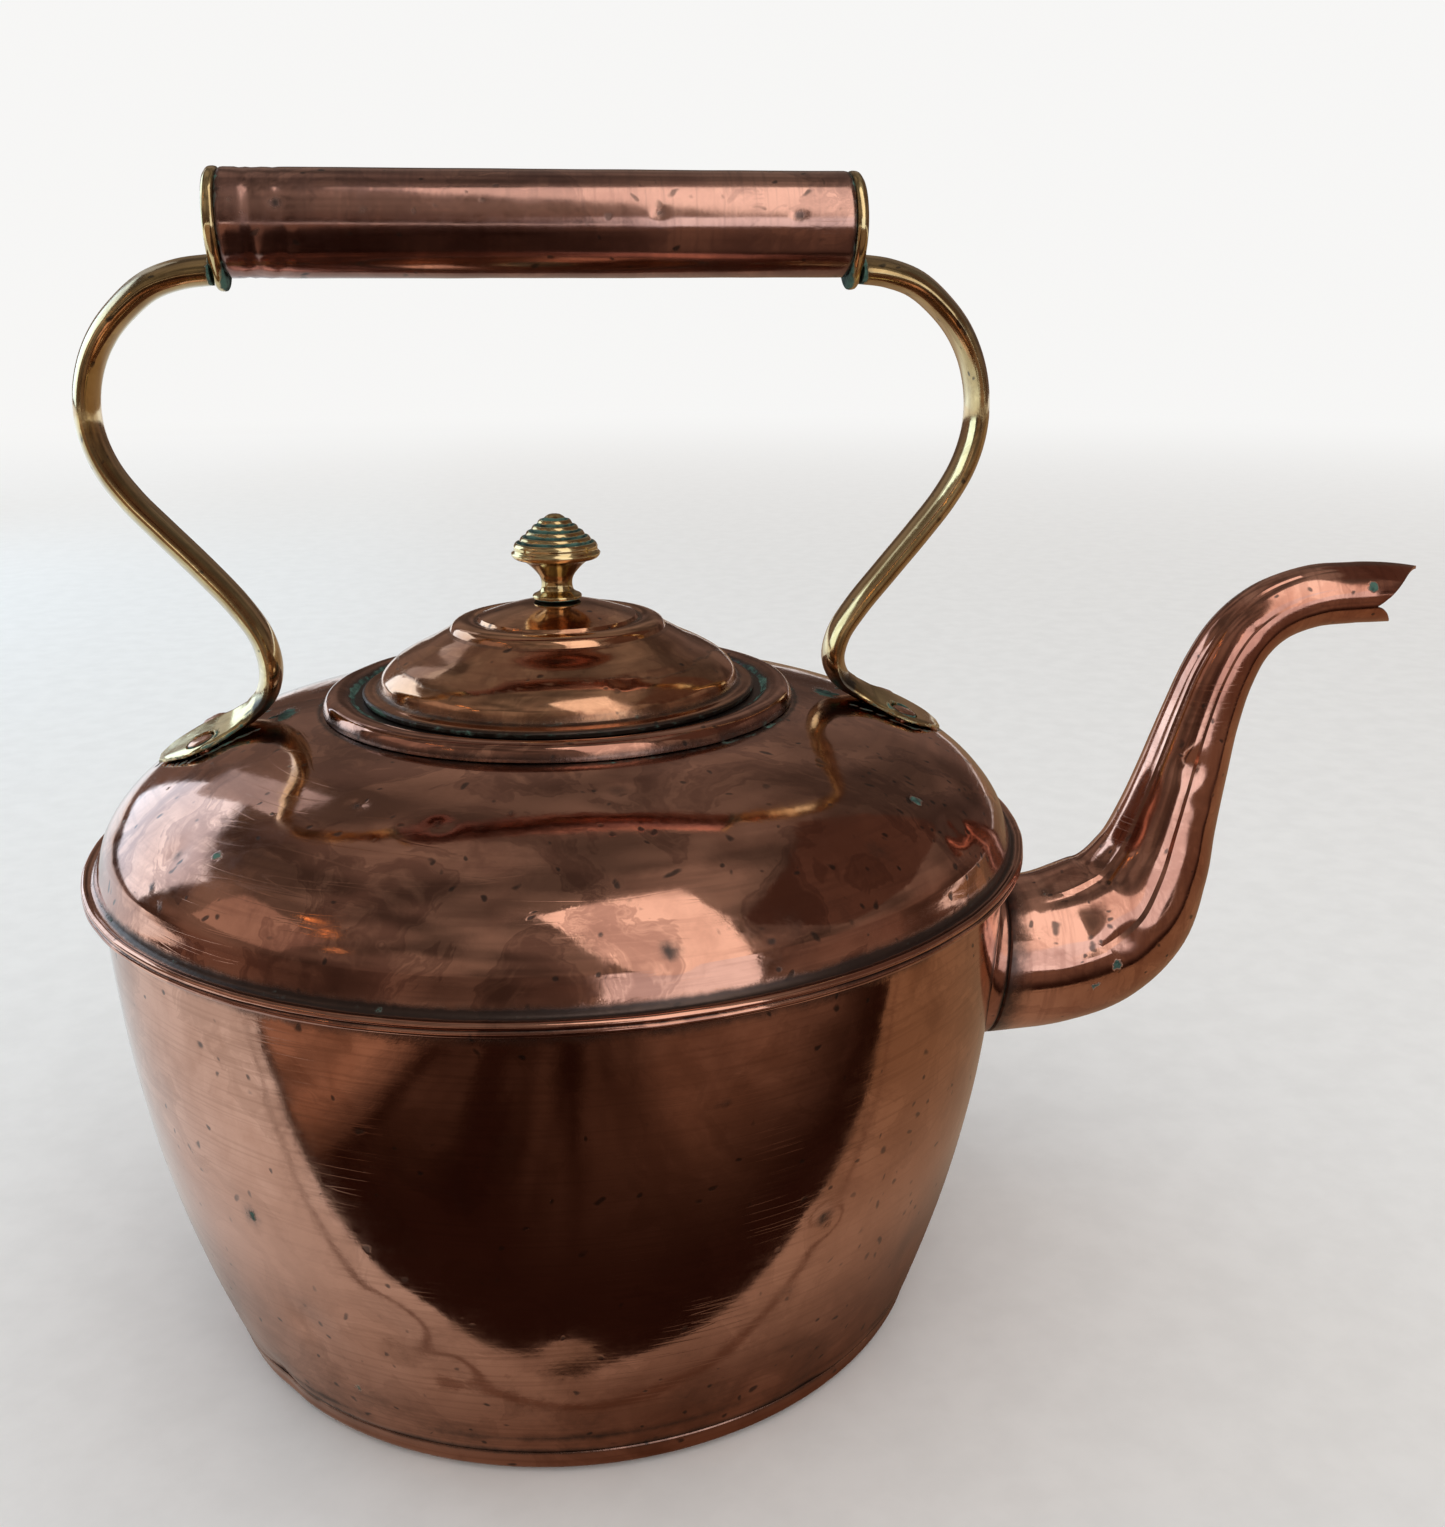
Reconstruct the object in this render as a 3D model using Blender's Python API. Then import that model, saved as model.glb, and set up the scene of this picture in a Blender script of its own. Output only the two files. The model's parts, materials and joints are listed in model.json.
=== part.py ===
"""A round copper kettle with a swan-neck spout, a lift-off lid and a riveted brass handle.

Metres, +Z up. The origin is the centre of the underside and the spout points along +X. Sizes are
named in millimetres and turned into metres where the meshes are made.
"""

import math

import bmesh
import bpy
from mathutils import Matrix, Vector

MM = 0.001
GAP = 0.3  # between pieces that touch
SHEET = 0.9  # thickness of the copper sheet
UP = Vector((0, 0, 1))

# Body: a tapering wall on a pan-shaped base
FOOT_RADIUS = 95.8
WALL_RADIUS = 117.8
WALL_HEIGHT = 124.0
WALL_CURVE = 2.1  # how much the wall bellies out between foot and rim
BASE_CORNER = 3.6
BASE_SEAM_Z = 7.0
BODY_SIDES = 48

# Rim: the shoulder's edge is folded round the wall's flange
RIM_RADIUS = 122.6
RIM_TOP_Z = 129.8
HEM_INNER_RADIUS = 118.7

# Shoulder dome
DOME_RADIUS = 118.2
DOME_BASE_Z = 129.5
DOME_RISE = 37.3
DOME_POWER = 2.9
DOME_OPENING_RADIUS = 49.6

# Lid seat
THROAT_RADIUS = 48.2
THROAT_BOTTOM_Z = 158.4
LEDGE_Z = 166.6
LEDGE_RADIUS = 53.4
BEAD_RADIUS = 61.2
BEAD_TOP_Z = 168.2
LID_SIDES = 40

# Lid
LID_RADIUS = 51.2
LID_UNDERSIDE_Z = LEDGE_Z + GAP
SKIRT_RADIUS = 47.4
SKIRT_BOTTOM_Z = 155.0
CROWN_Z = 190.1
KNOB_BASE_Z = 190.4
KNOB_TOP_Z = 212.2
KNOB_CAP_RADIUS = 11.5
KNOB_CAP_Z = 202.8
KNOB_RIBS = 5
TENON_RADIUS = 2.4

# Spout: (centre x, centre z, radius) along its middle line, after the root
SPOUT_AXIS_Z = 81.3
SPOUT_ROOT_RADIUS = 22.4
SPOUT_STATIONS = [
    (139.0, 82.6, 22.4),
    (151.5, 86.6, 22.4),
    (162.2, 94.7, 20.6),
    (169.0, 107.0, 17.0),
    (172.8, 120.0, 14.3),
    (176.6, 135.0, 12.4),
    (180.3, 150.0, 10.9),
    (184.5, 163.0, 10.0),
    (190.0, 173.0, 9.4),
    (198.0, 180.0, 9.0),
    (210.0, 184.2, 8.8),
]
SPOUT_SIDES = 24
MOUTH_CENTRE = (223.6, 185.0, 8.6)
LIP_DROOP = 1.6
COLLAR_DEPTH = 6.0
COLLAR_FLARE = 1.8
COLLAR_SLEEVE_RADIUS = 20.4
COLLAR_SLEEVE_LENGTH = 4.0
WALL_HOLE_RADIUS = 19.4

# Handle
GRIP_Z = 282.0
GRIP_RADIUS = 12.6
GRIP_HALF_LENGTH = 74.9
END_PLATE_DEPTH = 2.8
END_LUG_DROP = 2.8
SPIGOT_LENGTH = 6.0
# (x, z, thickness, half width) down the strap's middle line, from the grip to the shoulder
STRAP_STATIONS = [
    (GRIP_HALF_LENGTH + END_PLATE_DEPTH + 2 * GAP, 271.6, 7.2, 7.0),
    (86.0, 270.6, 7.1, 7.1),
    (93.6, 267.9, 6.9, 7.3),
    (100.4, 262.5, 6.6, 7.4),
    (105.4, 256.6, 6.4, 7.5),
    (109.0, 249.4, 6.2, 7.5),
    (110.9, 240.8, 6.1, 7.5),
    (110.6, 232.2, 6.1, 7.5),
    (108.0, 223.8, 6.2, 7.5),
    (103.2, 215.8, 6.3, 7.5),
    (96.6, 207.7, 6.4, 7.5),
    (87.8, 197.5, 6.4, 7.5),
    (79.9, 187.8, 6.3, 7.5),
    (75.2, 180.0, 6.1, 7.6),
    (73.8, 172.6, 5.9, 7.9),
    (75.4, 167.2, 5.5, 8.4),
    (79.2, 163.8, 5.0, 9.8),
]
STRAP_SKEW = 2.6  # the hand-bent front strap dips this much at its belly, and the rear one rises
# (x, half width, ridge height, edge height) along the leaf-shaped foot, on the shoulder
FOOT_STATIONS = [
    (84.0, 13.0, 4.6, 1.9),
    (88.0, 16.0, 4.3, 1.8),
    (92.0, 16.6, 3.9, 1.7),
    (96.0, 13.6, 3.4, 1.6),
    (100.0, 8.6, 2.8, 1.4),
    (103.0, 3.6, 1.9, 1.2),
]
RIVET_X = 90.0
RIVET_Y = 10.8
RIVET_HOLE_RADIUS = 2.2
RIVET_SEAT_RADIUS = 3.9
RIVET_SEAT_HEIGHT = 1.5
BURR_TOP = -SHEET - 0.7

COPPER = ((0.60, 0.30, 0.20), 0.28)
RED_COPPER = ((0.50, 0.22, 0.15), 0.25)
LID_COPPER = ((0.64, 0.32, 0.19), 0.24)
BRASS = ((0.66, 0.50, 0.24), 0.24)
DARK_BRASS = ((0.50, 0.38, 0.18), 0.32)


def clear_scene():
    for old in list(bpy.data.objects):
        bpy.data.objects.remove(old, do_unlink=True)


def make_object(name, points, faces, look):
    """One smooth-shaded piece from points in millimetres, with its own metal."""
    mesh = bpy.data.meshes.new(name)
    mesh.from_pydata([Vector(p) * MM for p in points], [], faces)
    solid = bmesh.new()
    solid.from_mesh(mesh)
    bmesh.ops.recalc_face_normals(solid, faces=solid.faces)
    solid.to_mesh(mesh)
    solid.free()
    mesh.shade_smooth()
    mesh.set_sharp_from_angle(angle=math.radians(35))
    obj = bpy.data.objects.new(name, mesh)
    bpy.context.scene.collection.objects.link(obj)
    if look:
        colour, roughness = look
        metal = bpy.data.materials.new(name)
        metal.use_nodes = True
        shader = metal.node_tree.nodes["Principled BSDF"]
        shader.inputs["Base Color"].default_value = (*colour, 1)
        shader.inputs["Metallic"].default_value = 1
        shader.inputs["Roughness"].default_value = roughness
        mesh.materials.append(metal)
    return obj


def turned(name, outline, sides, look):
    """Turns a closed (radius, z) outline about the Z axis."""
    points = []
    rings = []
    for radius, z in outline:
        first = len(points)
        if radius == 0:
            points.append((0, 0, z))
            rings.append([first] * sides)
            continue
        for side in range(sides):
            angle = math.tau * side / sides
            points.append((radius * math.cos(angle), radius * math.sin(angle), z))
        rings.append(list(range(first, first + sides)))
    return make_object(name, points, faces_between(rings, closed=True), look)


def faces_between(rings, closed):
    """Quads, or triangles at a pole, that join each ring of point numbers to the next one."""
    pairs = list(zip(rings, rings[1:]))
    if closed:
        pairs.append((rings[-1], rings[0]))
    faces = []
    for low, high in pairs:
        for here in range(len(low)):
            after = (here + 1) % len(low)
            corners = dict.fromkeys((low[here], low[after], high[after], high[here]))
            if len(corners) > 2:
                faces.append(tuple(corners))
    return faces


def lofted(name, sections, look, closed=False):
    """Joins sections with the same number of points; an open loft gets flat ends."""
    points = [point for section in sections for point in section]
    size = len(sections[0])
    rings = [list(range(i * size, (i + 1) * size)) for i in range(len(sections))]
    faces = faces_between(rings, closed)
    if not closed:
        faces += [tuple(rings[0]), tuple(rings[-1])]
    return make_object(name, points, faces, look)


def cut(obj, cutter):
    cutter.hide_render = True
    cutter.display_type = "WIRE"
    boolean = obj.modifiers.new(cutter.name, "BOOLEAN")
    boolean.operation = "DIFFERENCE"
    boolean.object = cutter


def drill(name, radius, low, high, sides=24):
    """A cutter along the local Z axis."""
    outline = [(0, high), (radius, high), (radius, low), (0, low)]
    return turned(name, outline, sides, None)


def wall_radius(z):
    rise = min(z / WALL_HEIGHT, 1)
    return FOOT_RADIUS + (WALL_RADIUS - FOOT_RADIUS) * (1 - (1 - rise) ** WALL_CURVE)


def dome_z(radius):
    return DOME_BASE_Z + DOME_RISE * math.sqrt(1 - (radius / DOME_RADIUS) ** DOME_POWER)


def dome_slope(radius):
    step = 0.1
    return (dome_z(radius + step) - dome_z(radius - step)) / (2 * step)


def base_plate():
    """A pan whose edge turns up to meet the wall's lower edge in a flush brazed seam."""
    centre = wall_radius(BASE_CORNER) - BASE_CORNER
    turn = [math.radians(a) for a in (0, 30, 60, 90)]
    outer = [(centre + BASE_CORNER * math.sin(a), BASE_CORNER * (1 - math.cos(a))) for a in turn]
    outer.append((wall_radius(BASE_SEAM_Z), BASE_SEAM_Z))
    inner_corner = BASE_CORNER - SHEET
    inner = [(centre + inner_corner * math.sin(a), BASE_CORNER - inner_corner * math.cos(a)) for a in turn]
    inner.append((wall_radius(BASE_SEAM_Z) - SHEET, BASE_SEAM_Z))
    outline = [(0, 0)] + outer + inner[::-1] + [(0, SHEET)]
    return turned("base_plate", outline, BODY_SIDES, COPPER)


def body_wall():
    """The tapering wall. Its top turns out into the flange that the shoulder is folded round."""
    flange_top = RIM_TOP_Z - SHEET - GAP
    flange_radius = RIM_RADIUS - SHEET - GAP
    heights = [BASE_SEAM_Z + GAP, 20, 38, 58, 80, 102, WALL_HEIGHT]
    outer = [(wall_radius(z), z) for z in heights]
    flange = [
        (WALL_RADIUS + 0.1, flange_top - 2.0),
        (WALL_RADIUS + 0.8, flange_top - SHEET),
        (flange_radius, flange_top - SHEET),
        (flange_radius, flange_top),
        (WALL_RADIUS + 0.2, flange_top),
        (WALL_RADIUS - 0.7, flange_top - 1.0),
    ]
    inner = [(radius - SHEET, z) for radius, z in outer]
    wall = turned("body_wall", outer + flange + inner[::-1], BODY_SIDES, COPPER)
    hole = drill("wall_hole", WALL_HOLE_RADIUS, 0, WALL_RADIUS * 1.2)
    hole.location = Vector((0, 0, SPOUT_AXIS_Z)) * MM
    hole.rotation_euler.y = math.radians(90)
    cut(wall, hole)
    return wall


def shoulder_dome():
    """The domed shoulder with its opening, and the hem that grips the wall's flange."""
    radii = [DOME_OPENING_RADIUS, 62, 74, 84, 93, 101, 108, 113, 116.2]
    outer = [(radius, dome_z(radius)) for radius in radii]
    hem_bottom = RIM_TOP_Z - 3 * SHEET - 2 * GAP
    hem = [
        (DOME_RADIUS + 0.1, RIM_TOP_Z + 1.6),
        (DOME_RADIUS + 1.4, RIM_TOP_Z + 0.1),
        (RIM_RADIUS - 0.6, RIM_TOP_Z),
        (RIM_RADIUS, RIM_TOP_Z - 0.7),
        (RIM_RADIUS, hem_bottom + 0.6),
        (RIM_RADIUS - 0.6, hem_bottom),
        (HEM_INNER_RADIUS, hem_bottom),
        (HEM_INNER_RADIUS, hem_bottom + SHEET),
        (RIM_RADIUS - SHEET, hem_bottom + SHEET),
        (RIM_RADIUS - SHEET, RIM_TOP_Z - SHEET),
        (DOME_RADIUS + 0.6, RIM_TOP_Z - SHEET),
    ]
    inner = []
    for radius in radii[1:]:
        slope = dome_slope(radius)
        length = math.hypot(1, slope)
        inner.append((radius + SHEET * slope / length, dome_z(radius) - SHEET / length))
    inner.insert(0, (DOME_OPENING_RADIUS, dome_z(DOME_OPENING_RADIUS) - SHEET))
    return turned("shoulder_dome", outer + hem + inner[::-1], BODY_SIDES, COPPER)


def lid_seat_ring():
    """The bead round the opening, the ledge that the lid rests on and the throat below it."""
    foot_z = dome_z(BEAD_RADIUS) + GAP
    outline = [
        (THROAT_RADIUS, LEDGE_Z),
        (LEDGE_RADIUS, LEDGE_Z),
        (LEDGE_RADIUS + 1.2, LEDGE_Z + 1.0),
        (LEDGE_RADIUS + 3.8, BEAD_TOP_Z),
        (BEAD_RADIUS - 1.3, BEAD_TOP_Z - 0.8),
        (BEAD_RADIUS, foot_z + 1.0),
        (BEAD_RADIUS, foot_z),
        (BEAD_RADIUS - SHEET, foot_z + 0.15),
        (BEAD_RADIUS - 2.0, BEAD_TOP_Z - 1.7),
        (LEDGE_RADIUS + 3.8, BEAD_TOP_Z - SHEET),
        (LEDGE_RADIUS + 1.7, LEDGE_Z + 0.1),
        (LEDGE_RADIUS + 0.4, LEDGE_Z - SHEET),
        (THROAT_RADIUS + SHEET, LEDGE_Z - SHEET),
        (THROAT_RADIUS + SHEET, THROAT_BOTTOM_Z),
        (THROAT_RADIUS, THROAT_BOTTOM_Z),
    ]
    return turned("lid_seat_ring", outline, LID_SIDES, COPPER)


def lid_shell():
    """The raised lid: flange, domed side, stepped bead and low crown."""
    outline = [
        (TENON_RADIUS + GAP, CROWN_Z),
        (8.0, 189.6),
        (14.7, 188.0),
        (20.8, 185.9),
        (21.9, 185.3),
        (23.2, 185.6),
        (25.8, 185.3),
        (27.4, 184.2),
        (28.0, 183.1),
        (34.0, 179.8),
        (39.4, 177.2),
        (43.5, 174.6),
        (46.2, 171.8),
        (47.0, 169.2),
        (LID_RADIUS - 0.4, 168.6),
        (LID_RADIUS, 167.9),
        (LID_RADIUS - 0.2, LID_UNDERSIDE_Z),
        (46.3, LID_UNDERSIDE_Z),
        (46.0, 169.4),
        (45.2, 171.4),
        (42.7, 173.9),
        (38.9, 176.4),
        (33.6, 178.9),
        (26.9, 182.4),
        (26.0, 184.0),
        (22.0, 184.3),
        (14.4, 187.1),
        (8.0, 188.7),
        (TENON_RADIUS + GAP, CROWN_Z - SHEET),
    ]
    return turned("lid_shell", outline, LID_SIDES, LID_COPPER)


def lid_skirt():
    """The strip under the lid that drops into the throat."""
    top = LID_UNDERSIDE_Z - GAP
    inner = SKIRT_RADIUS - SHEET
    outline = [
        (SKIRT_RADIUS, top),
        (SKIRT_RADIUS, SKIRT_BOTTOM_Z),
        (inner, SKIRT_BOTTOM_Z),
        (inner, top),
    ]
    return turned("lid_skirt", outline, LID_SIDES, COPPER)


def lid_knob():
    """A turned brass knob with a ribbed cone on top and a tenon peened over under the lid."""
    tip_radius = 2.6
    cone = []
    for rib in range(KNOB_RIBS):
        share = rib / KNOB_RIBS
        radius = tip_radius + (KNOB_CAP_RADIUS - 1.2 - tip_radius) * (share + 0.16) ** 1.15
        z = KNOB_TOP_Z - 0.9 - (KNOB_TOP_Z - KNOB_CAP_Z - 1.6) * share ** 0.9
        cone += [(radius, z), (radius + 0.1, z - 0.9)]
    outline = [(0, KNOB_TOP_Z), (1.6, KNOB_TOP_Z - 0.3)] + cone
    outline += [
        (KNOB_CAP_RADIUS, KNOB_CAP_Z + 0.5),
        (KNOB_CAP_RADIUS - 0.3, KNOB_CAP_Z - 0.8),
        (8.2, 200.2),
        (5.9, 198.2),
        (4.4, 196.2),
        (4.0, 194.4),
        (4.4, 192.6),
        (5.9, 191.7),
        (6.4, 191.2),
        (6.3, KNOB_BASE_Z),
        (TENON_RADIUS, KNOB_BASE_Z),
        (TENON_RADIUS, 187.2),
        (4.0, 187.2),
        (3.4, 186.3),
        (0, 186.1),
    ]
    return turned("lid_knob", outline, 20, BRASS)


def knob_washer():
    inner = TENON_RADIUS + GAP
    outline = [(7.0, 188.3), (7.0, 187.5), (inner, 187.5), (inner, 188.3)]
    return turned("knob_washer", outline, 20, DARK_BRASS)


def on_wall(y, z, clearance):
    """The point of the body's surface at this y and z on the spout's side, moved out along X."""
    return (math.sqrt(wall_radius(z) ** 2 - y * y) + clearance, y, z)


def root_ring(radius, clearance):
    ring = []
    for side in range(SPOUT_SIDES):
        angle = math.tau * side / SPOUT_SIDES
        y = -radius * math.sin(angle)
        ring.append(on_wall(y, SPOUT_AXIS_Z + radius * math.cos(angle), clearance))
    return ring


def spout_collar():
    """The short neck on the wall: a flared ring, and a sleeve that the spout is pushed over."""
    seam = GAP + COLLAR_DEPTH
    flare_radius = SPOUT_ROOT_RADIUS + COLLAR_FLARE
    inner = COLLAR_SLEEVE_RADIUS - SHEET
    sections = [
        root_ring(flare_radius, GAP),
        root_ring(SPOUT_ROOT_RADIUS + 0.4, GAP + 2.2),
        root_ring(SPOUT_ROOT_RADIUS, seam),
        root_ring(COLLAR_SLEEVE_RADIUS, seam),
        root_ring(COLLAR_SLEEVE_RADIUS, seam + COLLAR_SLEEVE_LENGTH),
        root_ring(inner, seam + COLLAR_SLEEVE_LENGTH),
        root_ring(inner, GAP),
    ]
    return lofted("spout_collar", sections, RED_COPPER, closed=True)


def mouth_reach(angle):
    """How far past the mouth's centre the edge reaches: a long upper lip, a notch, a short lower lip."""
    turn = abs(math.degrees(angle) - 360) if angle > math.pi else math.degrees(angle)
    notch = 111
    if turn <= notch:
        return 1.6 + 16.0 * (1 - turn / notch) ** 0.8
    return 1.6 + 9.4 * ((turn - notch) / (180 - notch)) ** 0.45


def mouth_ring(radius):
    centre_x, centre_z, _ = MOUTH_CENTRE
    ring = []
    for side in range(SPOUT_SIDES):
        angle = math.tau * side / SPOUT_SIDES
        reach = mouth_reach(angle)
        height = radius * math.cos(angle)
        droop = LIP_DROOP * (reach / 17.6) ** 2 if height > 0 else 0
        taper = 1 - 0.35 * (reach / 17.6) ** 2
        ring.append((centre_x + reach, -radius * taper * math.sin(angle), centre_z + height - droop))
    return ring


def spout():
    """The swan neck, as a tube of sheet from its root on the collar to the beaked mouth."""
    clearance = GAP + COLLAR_DEPTH + GAP
    path = [(wall_radius(SPOUT_AXIS_Z) + clearance, SPOUT_AXIS_Z, SPOUT_ROOT_RADIUS)]
    path += SPOUT_STATIONS + [MOUTH_CENTRE]
    outer = [root_ring(SPOUT_ROOT_RADIUS, clearance)]
    inner = [root_ring(SPOUT_ROOT_RADIUS - SHEET, clearance)]
    for before, here, after in zip(path, path[1:], path[2:]):
        run = Vector((after[0] - before[0], 0, after[1] - before[1])).normalized()
        top = Vector((-run.z, 0, run.x))
        centre = Vector((here[0], 0, here[1]))
        for rings, radius in ((outer, here[2]), (inner, here[2] - SHEET)):
            ring = []
            for side in range(SPOUT_SIDES):
                angle = math.tau * side / SPOUT_SIDES
                across = Vector((0, -radius * math.sin(angle), 0))
                ring.append(tuple(centre + top * (radius * math.cos(angle)) + across))
            rings.append(ring)
    outer.append(mouth_ring(MOUTH_CENTRE[2]))
    inner.append(mouth_ring(MOUTH_CENTRE[2] - SHEET))
    return lofted("spout", outer + inner[::-1], RED_COPPER, closed=True)


def strap_section(x, z, run, thickness, half_width):
    """An eight-cornered section across the strap: a ridge outside, a narrow flat inside."""
    out = Vector((-run.z, 0, run.x))
    centre = Vector((x, 0, z))
    half = thickness / 2
    shape = [
        (0, half),
        (0.5, 0.62 * half),
        (1, -0.15 * half),
        (0.6, -0.85 * half),
        (0, -half),
        (-0.6, -0.85 * half),
        (-1, -0.15 * half),
        (-0.5, 0.62 * half),
    ]
    return [centre + out * height + Vector((0, share * half_width, 0)) for share, height in shape]


def foot_section(x, half_width, ridge, edge):
    """A section of the leaf-shaped foot, whose underside follows the shoulder."""
    def above(share, height):
        y = share * half_width
        return Vector((x, y, dome_z(math.hypot(x, y)) + GAP + height))

    middle = edge + 0.4 * (ridge - edge)
    return [
        above(0, ridge),
        above(0.5, middle),
        above(1, edge),
        above(0.9, 0),
        above(0, 0),
        above(-0.9, 0),
        above(-1, edge),
        above(-0.5, middle),
    ]


def strap(name, side):
    """One S-shaped brass strap, from the grip's end plate down to its foot."""
    top_z = STRAP_STATIONS[0][1]
    bottom_z = STRAP_STATIONS[-1][1]
    ends = []
    for x, z, _, _ in STRAP_STATIONS:
        down = (top_z - z) / (top_z - bottom_z)
        ends.append((x, z - side * STRAP_SKEW * math.sin(math.pi * down ** 2)))
    x_foot = FOOT_STATIONS[0][0]
    path = [(ends[0][0] - 8, ends[0][1] + 0.3)] + ends + [(x_foot, dome_z(x_foot) + 2.6)]
    sections = []
    for number, (x, z) in enumerate(ends):
        thickness, half_width = STRAP_STATIONS[number][2:]
        before = path[number]
        after = path[number + 2]
        run = Vector((after[0] - before[0], 0, after[1] - before[1])).normalized()
        if number == 0:
            run = Vector((1, 0, 0))
        sections.append(strap_section(x, z, run, thickness, half_width))
    sections += [foot_section(*station) for station in FOOT_STATIONS]
    turned_round = [[(side * p.x, side * p.y, p.z) for p in section] for section in sections]
    return lofted(name, turned_round, BRASS)


def grip_tube():
    """The seamed copper tube that the hand holds."""
    inner = GRIP_RADIUS - SHEET
    outline = [
        (GRIP_RADIUS, GRIP_HALF_LENGTH),
        (GRIP_RADIUS, -GRIP_HALF_LENGTH),
        (inner, -GRIP_HALF_LENGTH),
        (inner, GRIP_HALF_LENGTH),
    ]
    tube = turned("grip_tube", outline, 32, RED_COPPER)
    tube.location.z = GRIP_Z * MM
    tube.rotation_euler.y = math.radians(90)
    return tube


def grip_end(name, side):
    """A brass end plate, with a lug under the tube for the strap and a spigot inside the tube."""
    def ring(x, radius, drop, sides=24):
        points = []
        for step in range(sides):
            angle = math.tau * step / sides
            lug = drop * math.exp(-((angle - math.pi) / 0.5) ** 2)
            reach = radius + lug
            points.append((side * x, side * reach * math.sin(angle), GRIP_Z + reach * math.cos(angle)))
        return points

    spigot = GRIP_RADIUS - SHEET - GAP
    near = GRIP_HALF_LENGTH + GAP
    far = near + END_PLATE_DEPTH
    sections = [
        ring(near - SPIGOT_LENGTH, spigot - 0.6, 0),
        ring(near - SPIGOT_LENGTH + 0.8, spigot, 0),
        ring(near, spigot, 0),
        ring(near, GRIP_RADIUS, END_LUG_DROP),
        ring(far - 0.8, GRIP_RADIUS, END_LUG_DROP),
        ring(far, GRIP_RADIUS - 0.9, END_LUG_DROP),
    ]
    return lofted(name, sections, BRASS)


def rivet_place(side, across):
    """Where a rivet crosses the shoulder's surface, with its axis square to it."""
    x = side * RIVET_X
    y = across * RIVET_Y
    radius = math.hypot(x, y)
    slope = dome_slope(radius)
    axis = Vector((-slope * x / radius, -slope * y / radius, 1)).normalized()
    turn = UP.rotation_difference(axis).to_matrix().to_4x4()
    return Matrix.Translation(Vector((x, y, dome_z(radius))) * MM) @ turn


def fasten(foot_name, foot, dome, side):
    """Two rivets through a foot and the shoulder, each with a burr inside the kettle."""
    shank = RIVET_HOLE_RADIUS - GAP
    head = RIVET_SEAT_RADIUS - 0.4
    head_z = RIVET_SEAT_HEIGHT + GAP
    burr_bottom = BURR_TOP - 0.8
    tail_z = burr_bottom - GAP
    rivet_outline = [
        (0, head_z + 1.7),
        (head * 0.6, head_z + 1.4),
        (head, head_z + 0.5),
        (head, head_z),
        (shank, head_z),
        (shank, tail_z),
        (3.2, tail_z),
        (2.6, tail_z - 1.0),
        (0, tail_z - 1.2),
    ]
    burr_outline = [
        (5.0, BURR_TOP),
        (5.0, burr_bottom),
        (RIVET_HOLE_RADIUS, burr_bottom),
        (RIVET_HOLE_RADIUS, BURR_TOP),
    ]
    for across, place_name in ((-1, "near"), (1, "far")):
        place = rivet_place(side, across)
        name = f"{foot_name}_{place_name}"
        hole = drill(f"hole_{name}", RIVET_HOLE_RADIUS, -4, 8, 16)
        seat = drill(f"seat_{name}", RIVET_SEAT_RADIUS, RIVET_SEAT_HEIGHT, 8, 20)
        rivet = turned(f"rivet_{name}", rivet_outline, 16, COPPER)
        burr = turned(f"burr_{name}", burr_outline, 16, COPPER)
        for piece in (hole, seat, rivet, burr):
            piece.matrix_world = place
        cut(foot, hole)
        cut(foot, seat)
        cut(dome, hole)


def build():
    clear_scene()
    base_plate()
    body_wall()
    dome = shoulder_dome()
    lid_seat_ring()
    lid_shell()
    lid_skirt()
    lid_knob()
    knob_washer()
    spout_collar()
    spout()
    grip_tube()
    for name, side in (("rear", -1), ("front", 1)):
        foot = strap(f"strap_{name}", side)
        grip_end(f"grip_end_{name}", side)
        fasten(name, foot, dome, side)


build()
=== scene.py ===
"""Looks for the copper kettle: worked sheet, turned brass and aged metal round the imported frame.

Sizes are in millimetres, in the frame of the CAD model: +Z up, the spout along +X. Each visible
part is a fine mesh that stands for one CAD node and rides on that node's body. The burrs and the
washer under the lid stay as the CAD models them. The stage and its lights are in metres.
"""

import json
import math
from types import SimpleNamespace

import bmesh
import bpy
import numpy as np
from mathutils import Euler, Matrix, Vector, noise

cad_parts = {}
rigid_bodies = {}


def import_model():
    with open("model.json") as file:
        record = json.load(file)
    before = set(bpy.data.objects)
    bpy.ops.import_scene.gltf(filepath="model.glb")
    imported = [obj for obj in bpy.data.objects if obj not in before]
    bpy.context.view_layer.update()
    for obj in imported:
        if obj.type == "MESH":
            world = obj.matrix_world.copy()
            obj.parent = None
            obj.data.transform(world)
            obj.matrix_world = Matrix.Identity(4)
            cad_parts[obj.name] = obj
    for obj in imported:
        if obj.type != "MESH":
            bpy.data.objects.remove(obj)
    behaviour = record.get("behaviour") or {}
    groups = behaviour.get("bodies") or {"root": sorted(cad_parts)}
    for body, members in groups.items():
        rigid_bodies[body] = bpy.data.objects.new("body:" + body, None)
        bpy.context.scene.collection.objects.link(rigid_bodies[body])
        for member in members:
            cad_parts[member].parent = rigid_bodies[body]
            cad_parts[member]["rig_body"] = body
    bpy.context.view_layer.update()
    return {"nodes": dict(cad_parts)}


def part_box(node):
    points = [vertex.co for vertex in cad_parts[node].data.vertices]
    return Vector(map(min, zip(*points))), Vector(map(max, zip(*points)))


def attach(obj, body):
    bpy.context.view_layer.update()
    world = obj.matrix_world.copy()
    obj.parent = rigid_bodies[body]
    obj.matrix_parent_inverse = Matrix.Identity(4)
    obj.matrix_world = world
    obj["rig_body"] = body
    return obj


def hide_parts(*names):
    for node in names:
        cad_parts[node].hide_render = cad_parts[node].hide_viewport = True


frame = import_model()

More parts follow.
